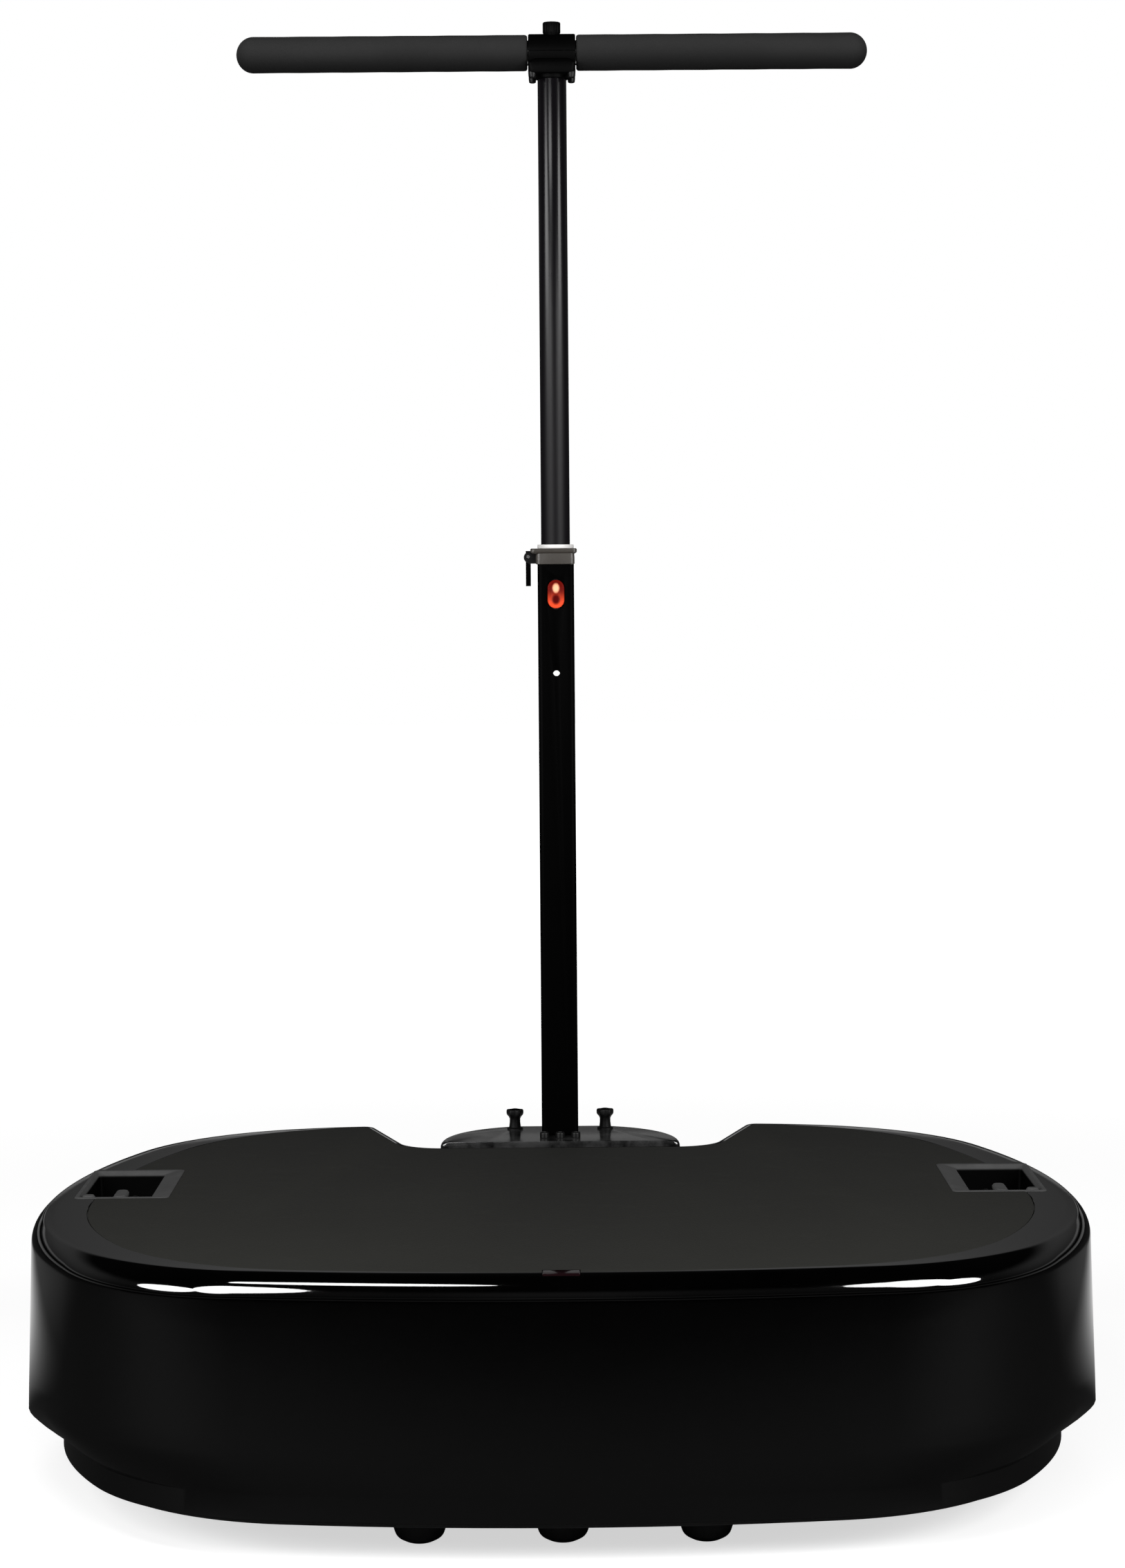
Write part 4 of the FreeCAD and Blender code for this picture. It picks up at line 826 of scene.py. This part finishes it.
# %% Mat
mat = bmesh.new()
mat_lines = [plate_row(mat, MAT_CUT, DECK - MAT_THICK),
             plate_row(mat, MAT_CUT, DECK - 0.0009),
             plate_row(mat, tuple(a + 0.0003 for a in MAT_CUT), DECK - 0.0003),
             plate_row(mat, tuple(a + 0.0010 for a in MAT_CUT), DECK)]
closed_half(mat, mat_lines)
cut_hole(mat, WELL_LOW, WELL_HIGH, HOLE_FOOT, HOLE_TOP)
cut_hole(mat, (WINDOW_LEFT, -0.34), WINDOW_HIGH, HOLE_FOOT, HOLE_TOP)
mirrored_half(mat)
piece("mat_sheet", mat, "mat", "platform", ["rubber_mat"])

# %% [markdown]
# ## Rings, caps and turned shapes
# A few small helpers make most of the other parts. A ring is a closed rounded rectangle at a
# height, walked like the outline of the platform. A cap closes a ring with faces that meet in its
# middle, and a capped body is a stack of rings with a cap at each end. A turned shape is a profile
# spun round an axis, as on a lathe; its inner corners are eased first, because no real corner is
# quite sharp.

# %% Rings, caps and turned shapes
BODY_OF = {node: body for body, members in frame["record"]["behaviour"]["bodies"].items()
           for node in members}


def ring(work, low, high, radius, height, steps=5):
    """The edges of a closed rounded rectangle."""
    lengths = (high[0] - low[0] - 2 * radius, high[1] - low[1] - 2 * radius)
    runs = []
    for n in range(4):
        runs += [(None, max(lengths[n % 2], 1e-5), 2), (radius, (n + 1) * pi / 2, steps)]
    chain = walk(work, (low[0] + radius, low[1], height), 0.0, runs)
    points = list({v for e in chain for v in e.verts})
    bmesh.ops.remove_doubles(work, verts=points, dist=DOUBLE)
    return list({e for v in points if v.is_valid for e in v.link_edges})


def grown(low, high, by):
    """A rectangle's two corners moved outward; a negative amount moves them inward."""
    return (low[0] - by, low[1] - by), (high[0] + by, high[1] + by)


def stacked(work, corners, radius, base, steps):
    """Rings of one rectangle, grown and raised above a base in steps; corners keep their radius."""
    return [ring(work, *grown(*corners, by), radius, base + z) for by, z in steps]


def cap(work, row):
    """Closes a ring with faces that meet in its middle."""
    tips = [g for g in bmesh.ops.extrude_edge_only(work, edges=row)["geom"]
            if isinstance(g, bmesh.types.BMVert)]
    middle = sum((v.co for v in tips), Vector()) / len(tips)
    bmesh.ops.pointmerge(work, verts=tips, merge_co=middle)


def capped(work, rows):
    """A closed body: the rings are joined, and the first and the last capped."""
    skin(work, rows)
    cap(work, rows[0])
    cap(work, rows[-1])


def eased(corners, radius, steps):
    """A profile whose inner corners are rounded off."""
    path = [Vector(corners[0])]
    for before, corner, after in zip(corners, corners[1:], corners[2:]):
        before, corner, after = Vector(before), Vector(corner), Vector(after)
        first = corner + (before - corner) * min(0.5, radius / (before - corner).length)
        last = corner + (after - corner) * min(0.5, radius / (after - corner).length)
        for n in range(steps + 1):
            t = n / steps
            path.append(first * (1 - t) ** 2 + corner * (2 * t * (1 - t)) + last * t * t)
    return path + [Vector(corners[-1])]


def turned(work, profile, centre, steps=48, axis="Z"):
    """Spins a profile of (radius, distance along the axis) points about an axis."""
    centre = Vector(centre)
    way = Vector((0, 0, 1)) if axis == "Z" else Vector((1, 0, 0))
    out = Vector((1, 0, 0)) if axis == "Z" else Vector((0, 0, 1))
    points = [work.verts.new(centre + out * max(r, 0.0) + way * h) for r, h in profile]
    lines = [work.edges.new(pair) for pair in zip(points, points[1:])]
    bmesh.ops.spin(work, geom=points + lines, cent=centre, axis=way, angle=2 * pi, steps=steps,
                   use_merge=True)


def lobed_row(work, centre, radius, lobes, depth, height):
    """A circle that waves in and out, for a knob that fingers can grip."""
    made = bmesh.ops.create_circle(work, cap_ends=False, radius=radius, segments=60)["verts"]
    for n, point in enumerate(made):
        point.co *= 1.0 + depth / radius * cos(lobes * 2 * pi * n / len(made))
        point.co += Vector((centre[0], centre[1], height))
    return list({e for v in made for e in v.link_edges})


# %% [markdown]
# A small hard part that has the right shape already is copied from the engineering model. Points
# that repeat are merged, flat neighbours become one face, and the sharp edges get a small bevel, so
# that they catch the light as moulded and machined edges do.

# %% Refine an engineering part
def refined(node, finish, bevel, segments=2):
    """A copy of a part with softened edges, which takes the part's place."""
    work = bmesh.new()
    work.from_mesh(nodes[node].data)
    bmesh.ops.remove_doubles(work, verts=work.verts, dist=1e-5)
    bmesh.ops.dissolve_limit(work, angle_limit=radians(1), verts=work.verts, edges=work.edges)
    hard = [e for e in work.edges if len(e.link_faces) == 2 and e.calc_face_angle() > radians(32)]
    bmesh.ops.bevel(work, geom=hard, offset=bevel, offset_type="OFFSET", segments=segments,
                    profile=0.5, affect="EDGES", clamp_overlap=True, material=-1)
    return piece(node + "_detail", work, finish, BODY_OF[node], [node], sharp=40)


# %% [markdown]
# ## The strap wells
# Straps hook onto a bar at the bottom of a well on each side. The border is wide on the inner side,
# where it slopes down like a ramp so that a strap slides over it. Two small tongues on the front
# edge keep the strap in place. The right well is made, and the left one is its mirror image.

# %% Strap wells
WELL_RIM = (0.3165, -0.0185), (0.3860, 0.1025)
TONGUES = (((0.3488, -0.0150), (0.3592, 0.0160), 0.0051, DECK + 0.0004),
           ((0.3735, -0.0150), (0.3835, -0.0060), 0.0040, DECK + 0.0010))


def strap_well(side, node):
    work = bmesh.new()
    outer = [ring(work, *grown(*WELL_RIM, by), radius, z)
             for by, radius, z in ((0.0, 0.003, 0.1635), (0.0, 0.003, DECK - 0.0045),
                                   (0.0028, 0.004, DECK - 0.0045), (0.0030, 0.004, DECK + 0.0002),
                                   (0.0022, 0.004, DECK + 0.0006))]
    inner = [ring(work, low, high, 0.003, z)
             for low, high, z in (((0.3175, -0.0172), (0.3862, 0.1005), DECK + 0.0005),
                                  ((0.3288, -0.0126), (0.3843, 0.0974), DECK - 0.0022),
                                  ((0.3293, -0.0121), (0.3840, 0.0969), DECK - 0.0046),
                                  ((0.3306, -0.0108), (0.3828, 0.0958), 0.1710),
                                  ((0.3330, -0.0084), (0.3804, 0.0934), 0.1665))]
    capped(work, outer + inner)
    for low, high, radius, top in TONGUES:
        tongue = [ring(work, *grown(low, high, -by), radius - by, z)
                  for by, z in ((0.0, DECK - 0.0070), (0.0, top - 0.0014), (0.0012, top))]
        skin(work, tongue)
        cap(work, tongue[-1])
    bmesh.ops.scale(work, vec=(side, 1, 1), verts=work.verts)
    piece(node + "_tub", work, "well", "platform", [node])


strap_well(1, "strap_well_right")
strap_well(-1, "strap_well_left")

# %% [markdown]
# ## The mast cover
# Behind the notch a moulding hides the foot of the mast and carries the two thumb knobs. Seen from
# above it is half of an oval, cut straight at the rear. Its top is flat and polished less evenly
# than the shell, so what it mirrors breaks into patches, and its colour also carries lighter grey
# patches of painted reflection.

# %% Mast cover
COVER_LOW, COVER_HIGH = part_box("mast_cover")
COVER_CORNER, COVER_BEND, COVER_TURN = 0.004, 0.0834, radians(167.7)
COVER_EDGE, EDGE_STEPS = 0.0045, 6


def cover_row(work, inset, height):
    """Half the outline of the cover at a height."""
    bend = COVER_BEND - inset
    half = COVER_HIGH.x - inset
    level = half - bend * (1 - sin(COVER_TURN)) - COVER_CORNER * sin(COVER_TURN)
    runs = [(None, half - COVER_CORNER, 6), (COVER_CORNER, pi / 2, 5), (bend, COVER_TURN, 28),
            (COVER_CORNER, pi, 4), (None, level, 5)]
    return walk(work, (0.0, COVER_LOW.y + inset * 0.12, height), 0.0, runs)


cover = bmesh.new()
cover_lines = [cover_row(cover, 0.0, 0.030), cover_row(cover, 0.0, 0.120)]
for tilt in (pi / 2 * n / EDGE_STEPS for n in range(EDGE_STEPS + 1)):
    cover_lines.append(cover_row(cover, COVER_EDGE * (1 - cos(tilt)),
                                 COVER_HIGH.z - COVER_EDGE * (1 - sin(tilt))))
closed_half(cover, cover_lines)
mirrored_half(cover)
piece("mast_cover_moulding", cover, "cover_gloss", "base", ["mast_cover"])

# %% [markdown]
# ## Thumb knobs and foot screws
# Two knobs let a person take the mast off by hand. A knob has a neck, a flare and a head with five
# lobes. Three round-headed screws sit between the knobs, in front of the mast.

# %% Thumb knobs
def thumb_knob(side, node):
    low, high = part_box(node)
    centre = (side * 0.040, (low.y + high.y) / 2)
    foot, top = COVER_HIGH.z, high.z
    work = bmesh.new()
    rows = ((0.0070, 0.0, foot), (0.0070, 0.0, foot + 0.0010), (0.0052, 0.0, foot + 0.0017),
            (0.0047, 0.0, foot + 0.0060), (0.0047, 0.0, foot + 0.0092),
            (0.0056, 0.0002, foot + 0.0110), (0.0066, 0.0007, foot + 0.0123),
            (0.0069, 0.0009, foot + 0.0136), (0.0069, 0.0009, top - 0.0014),
            (0.0065, 0.0007, top - 0.0004), (0.0052, 0.0004, top - 0.0004),
            (0.0046, 0.0, top - 0.0010))
    capped(work, [lobed_row(work, centre, r, 5, wave, z) for r, wave, z in rows])
    piece(node + "_moulding", work, "black_plastic", BODY_OF[node], [node])


thumb_knob(1, "thumb_knob_right")
thumb_knob(-1, "thumb_knob_left")

screws = bmesh.new()
low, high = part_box("mast_foot_screws")
reach = (high.y - low.y) / 2
for x in (low.x + reach, 0.0, high.x - reach):
    head = eased([(0.0, high.z - 0.0016), (0.0018, high.z - 0.0016), (0.0018, high.z),
                  (0.0034, high.z),
                  (0.0040, high.z - 0.0010), (0.0040, low.z), (0.0, low.z)], 0.0004, 3)
    turned(screws, head, (x, (low.y + high.y) / 2, 0.0), 40)
piece("mast_foot_screw_heads", screws, "bolt", "base", ["mast_foot_screws"])

# %% [markdown]
# ## The mast
# The lower tube is square and satin, and stays as the engineering model has it, with softened
# edges. The upper tube is round and gloss. Flat facets would break its light streaks into beads, so
# it is spun finely.

# %% Mast tubes
low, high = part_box("upper_tube")
MAST_Y = (low.y + high.y) / 2
upper = bmesh.new()
TUBE_BORE = 0.0111
wall_line = [(TUBE_BORE, low.z), (high.x, low.z), (high.x, high.z), (TUBE_BORE, high.z),
             (TUBE_BORE, low.z)]
turned(upper, eased(wall_line, 0.0006, 3), (0.0, MAST_Y, 0.0), 112)
piece("upper_tube_drawn", upper, "tube_gloss", "mast_upper", ["upper_tube"])
refined("lower_tube", "tube_satin", 0.0003)
refined("nylon_bush", "nylon", 0.0008, 3)

# %% [markdown]
# The collar on top of the lower tube is cast. Its body is a square sleeve round the tube, and its
# flange stands out all round, further on the side where the lock lever hangs. Both are rings joined
# in a circle: down the outside, across, and back up the bore.

# %% Collar
low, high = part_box("mast_collar")
FLANGE = (-0.0222, MAST_Y - 0.0186), (0.0186, MAST_Y + 0.0186)
ROUND_BORE = (-0.0135, MAST_Y - 0.0135), (0.0135, MAST_Y + 0.0135)
SLEEVE = (-0.0174, MAST_Y - 0.0174), (0.0166, MAST_Y + 0.0174)
SQUARE_BORE = (-0.01605, MAST_Y - 0.01605), (0.01605, MAST_Y + 0.01605)
flange = bmesh.new()
foot_ring, *bore_rings = [ring(flange, *ROUND_BORE, 0.0134, high.z + z)
                          for z in (-0.0048, 0.0001, -0.0048)]
flange_rows = stacked(flange, FLANGE, 0.0035, high.z,
                      ((-0.0022, -0.0048), (-0.0004, -0.0036), (0.0, -0.0030), (0.0, -0.0006),
                       (-0.0007, 0.0001)))
skin(flange, [foot_ring, *flange_rows, *bore_rings])
piece("mast_collar_flange", flange, "collar", "base", [])
collar = bmesh.new()
collar_rows = stacked(collar, SLEEVE, 0.0035, low.z, ((-0.0012, 0.0), (0.0, 0.0006), (0.0, 0.0060)))
collar_rows += stacked(collar, SLEEVE, 0.0035, high.z, ((-0.0003, -0.0036),))
hole_rows = [ring(collar, *SQUARE_BORE, 0.0030, z) for z in (high.z - 0.0036, low.z)]
skin(collar, collar_rows + hole_rows + collar_rows[:1])
piece("mast_collar_body", collar, "collar", "base", ["mast_collar"])

# %% [markdown]
# Two cheeks reach out from the flange and hold the lever between them. Each is a small sloping
# plate, made lying flat and turned upright. A round pin goes through both.

# %% Lever and its cheeks
UPRIGHT = Matrix.Rotation(radians(90), 3, "X")
CHEEK_THICK = 0.0026
cheeks = bmesh.new()
for y in (MAST_Y - 0.0078, MAST_Y + 0.0078):
    chain = walk(cheeks, (-0.0160, low.z + 0.0008, 0.0), pi,
                 [(None, 0.0070, 2), (-0.0030, pi * 0.80, 3), (None, 0.0015, 2), (-0.0050, 0.30, 12),
                  (None, 0.0095, 3)])
    tips = [v for v in {v for e in chain for v in e.verts} if len(v.link_edges) == 1]
    face = bmesh.ops.edgeloop_fill(cheeks, edges=chain + [cheeks.edges.new(tips)])["faces"]
    solid = bmesh.ops.extrude_face_region(cheeks, geom=face, use_keep_orig=True)["geom"]
    far = [v for v in solid if isinstance(v, bmesh.types.BMVert)]
    bmesh.ops.translate(cheeks, vec=(0, 0, CHEEK_THICK), verts=far)
    lying = [v for v in cheeks.verts if v.co.z < 2 * CHEEK_THICK]
    bmesh.ops.rotate(cheeks, cent=(0, 0, 0), matrix=UPRIGHT, verts=lying)
    bmesh.ops.translate(cheeks, vec=(0, y + CHEEK_THICK / 2, 0), verts=lying)
piece("mast_collar_cheeks", cheeks, "black_plastic", "base", [])
refined("lock_lever", "tube_satin", 0.0008, 3)

# %% [markdown]
# ## The lock button
# The button stands proud of the tube. It has a raised rim and a dished face, and its colour
# carries a painted highlight, a painted reflection and a painted glow. The rings are made lying flat
# and then turned upright.

# %% Lock button
low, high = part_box("lock_button")
BUTTON_MIDDLE = Vector((0.0, low.y, (low.z + high.z) / 2))
BUTTON_WIDE, BUTTON_TALL = 0.0073, 0.0125
finishes["button"] = make_button_plastic(BUTTON_MIDDLE, BUTTON_WIDE, BUTTON_TALL)
button = bmesh.new()
face = (-BUTTON_WIDE, -BUTTON_TALL), (BUTTON_WIDE, BUTTON_TALL)
capped(button, [ring(button, *grown(*face, -by), 0.00725 - by, out, 8)
                for by, out in ((0.0, -0.0034), (0.0, -0.0012), (0.0003, -0.0004), (0.0009, 0.0),
                                (0.0015, -0.0001), (0.0021, -0.0006), (0.0034, -0.0014),
                                (0.0052, -0.0018))])
bmesh.ops.rotate(button, cent=(0, 0, 0), matrix=UPRIGHT, verts=button.verts)
bmesh.ops.translate(button, vec=BUTTON_MIDDLE, verts=button.verts)
piece("lock_button_lens", button, "button", "button", ["lock_button"])

# %% [markdown]
# ## Crossbar, foam grips and hub
# Each grip is a tube of closed-cell foam pushed over the bar. Its outer end is a closed half ball,
# its inner end has a soft edge, and the foam is never quite straight: its radius drifts by a tenth
# of a millimetre. A spun profile does all of that.

# %% Foam grips
low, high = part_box("foam_grip_right")
BAR_Z = (low.z + high.z) / 2
GRIP = high.z - BAR_Z
DRIFT = 0.0001


def foam_grip(side, node):
    work = bmesh.new()
    side_line = [(GRIP - DRIFT + DRIFT * sin(n * 2.1), low.x + 0.012 + n * 0.0145)
                 for n in range(16)]
    corners = [(0.0112, low.x), (GRIP - DRIFT, low.x)]
    profile = eased(corners + [side_line[0]], 0.0030, 5)[:-1] + [Vector(p) for p in side_line]
    nose = high.x - GRIP + 0.0010
    profile += [Vector((GRIP * cos(t), nose + (GRIP - 0.0010) * sin(t)))
                for t in (pi / 2 * n / 12 for n in range(13))]
    turned(work, profile, (0.0, MAST_Y, BAR_Z), 72, "X")
    bmesh.ops.scale(work, vec=(side, 1, 1), verts=work.verts)
    grip = piece(node + "_sleeve", work, "foam", "mast_upper", [node], sharp=60)


foam_grip(1, "foam_grip_right")
foam_grip(-1, "foam_grip_left")

# %% [markdown]
# The hub clamps the bar to the mast. Its upper half is a cap as thick as the foam, and its lower
# half a saddle with a square skirt. A drum is turned and sliced at the height of the bar, once for
# each half. The screws come up from below at the four corners.

# %% Hub
HUB_HALF, HUB_R, SKIRT_Z = 0.0208, 0.0166, 1.1440


def half_drum(work, keep_above):
    """Half of a turned drum, sliced level just beside the bar's axis."""
    profile = [(0.0, -HUB_HALF), (HUB_R, -HUB_HALF), (HUB_R, HUB_HALF), (0.0, HUB_HALF)]
    turned(work, eased(profile, 0.0016, 4), (0.0, MAST_Y, BAR_Z), 72, "X")
    cut_z = BAR_Z + (0.0003 if keep_above else -0.0003)
    sliced = bmesh.ops.bisect_plane(work, geom=work.verts[:] + work.edges[:] + work.faces[:],
                                    plane_co=(0, 0, cut_z), plane_no=(0, 0, 1),
                                    clear_inner=keep_above, clear_outer=not keep_above)
    rim = [g for g in sliced["geom_cut"] if isinstance(g, bmesh.types.BMEdge)]
    bmesh.ops.holes_fill(work, edges=rim, sides=0)


hub_cap = bmesh.new()
half_drum(hub_cap, True)
piece("hub_cap_moulding", hub_cap, "hub", "mast_upper", ["hub_cap"])

saddle = bmesh.new()
half_drum(saddle, False)
skirt = (-HUB_HALF, MAST_Y - 0.0205), (HUB_HALF, MAST_Y + 0.0205)
capped(saddle, stacked(saddle, skirt, 0.004, SKIRT_Z,
                       ((-0.0045, 0.0135), (-0.0015, 0.0115), (0.0, 0.0090), (0.0, 0.0016),
                        (-0.0006, 0.0004), (-0.0016, 0.0))))
socket = eased([(0.0127, SKIRT_Z + 0.002), (0.0152, SKIRT_Z + 0.002), (0.0148, SKIRT_Z - 0.0035),
                (0.0128, SKIRT_Z - 0.0035)], 0.0008, 3)
turned(saddle, socket, (0.0, MAST_Y, 0.0), 64)
piece("hub_saddle_moulding", saddle, "hub", "mast_upper", ["hub_saddle"])

hub_screws = bmesh.new()
for x in (-0.0172, 0.0172):
    for y in (MAST_Y - 0.0165, MAST_Y + 0.0165):
        head = eased([(0.0, SKIRT_Z - 0.0046), (0.0016, SKIRT_Z - 0.0046), (0.0030, SKIRT_Z - 0.0040),
                      (0.0034, SKIRT_Z - 0.0008), (0.0034, SKIRT_Z + 0.002),
                      (0.0, SKIRT_Z + 0.002)], 0.0006, 3)
        turned(hub_screws, head, (x, y, 0.0), 32)
piece("hub_screw_heads", hub_screws, "bolt", "mast_upper", ["hub_screws"])

# %% Top knob
low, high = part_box("top_knob")
knob = bmesh.new()
foot, top = BAR_Z + HUB_R, high.z
knob_rows = ((0.0066, 0.0, foot - 0.002), (0.0074, 0.0002, foot + 0.0005),
             (0.0077, 0.0003, foot + 0.0015), (0.0077, 0.0003, top - 0.0012),
             (0.0072, 0.0001, top - 0.0002), (0.0058, 0.0, top), (0.0052, 0.0, top - 0.0006))
capped(knob, [lobed_row(knob, (0.0, MAST_Y), r, 14, wave, z) for r, wave, z in knob_rows])
piece("top_knob_moulding", knob, "hub", "knob_top", ["top_knob"])

# %% [markdown]
# ## Feet and isolators
# The feet are rubber pucks with a domed tread and a groove round the middle. The isolators between
# base and deck are rubber barrels with a steel-backed rim at each end; the plate shakes on them.
# Both are turned, each at the place that the engineering model gives it.

# %% Feet and isolators
for node in [n for n in nodes if n.startswith(("foot_", "isolator_"))]:
    low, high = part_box(node)
    centre = ((low.x + high.x) / 2, (low.y + high.y) / 2, 0.0)
    wide, foot, top = (high.x - low.x) / 2, low.z, high.z
    work = bmesh.new()
    if node.startswith("foot_"):
        groove = wide - 0.0014
        corners = [(wide * 0.42, foot), (wide * 0.86, foot + 0.0045), (wide, foot + 0.0130),
                   (wide, foot + 0.0160), (groove, foot + 0.0170), (groove, foot + 0.0182),
                   (wide, foot + 0.0192), (wide, top)]
    else:
        rim, waist, flank = wide * 0.97, wide * 0.84, wide * 0.95
        corners = [(rim, foot), (rim, foot + 0.0028), (waist, foot + 0.0060),
                   (flank, foot + 0.0200), (wide, (foot + top) / 2), (flank, top - 0.0200),
                   (waist, top - 0.0060), (rim, top - 0.0028), (rim, top)]
    turned(work, eased([(0.0, foot), *corners, (0.0, top)], 0.0035, 5), centre, 56)
    piece(node + "_rubber", work, "rubber", BODY_OF[node], [node], sharp=50)

# %% [markdown]
# ## Rear fittings and the sensor window
# The mains inlet, the switch and the dark window in the front edge keep their engineering shapes
# with softened edges.

# %% Fittings
refined("power_inlet", "black_plastic", 0.0006, 3)
refined("switch_bezel", "black_plastic", 0.0006, 3)
refined("switch_rocker", "rocker", 0.0005, 3)
refined("infrared_window", "window", 0.0005, 3)

# %% [markdown]
# ## Parts that keep their engineering shape
# The parts inside the base and under the deck are right as they are, and get a finish each. They
# are found by the beginnings of their names, which takes in the left and the right one.

# %% Finishes of carried-over parts
KEPT = {
    "steel": ("motor_shaft", "eccentric_weights", "motor_bearings", "crossbar_tube", "lever_pin"),
    "black_steel": ("base_pan", "base_rail", "deck_rail", "deck_plate", "mast_bracket",
                    "motor_saddle", "strap_bars"),
    "bolt": ("bracket_bolts", "deck_bolts"),
    "motor": ("motor_housing",),
    "control": ("control_box",),
    "board": ("circuit_board",),
    "brass": ("inlet_pins",),
    "nylon": ("nylon_glide",),
}
kept = [(nodes[name], finish) for finish, starts in KEPT.items() for name in nodes
        if name.startswith(starts)]
for part, finish in kept:
    for material_slot in part.material_slots:
        material_slot.material = finishes[finish]
print(len(kept), "parts keep their shape")

# %% [markdown]
# ## Sizes
# The box of the visual model is printed, as the box of the engineering model was at the start.

# %% Sizes
low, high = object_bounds()
print("visual model", [round(v, 4) for v in (*low, *high)])
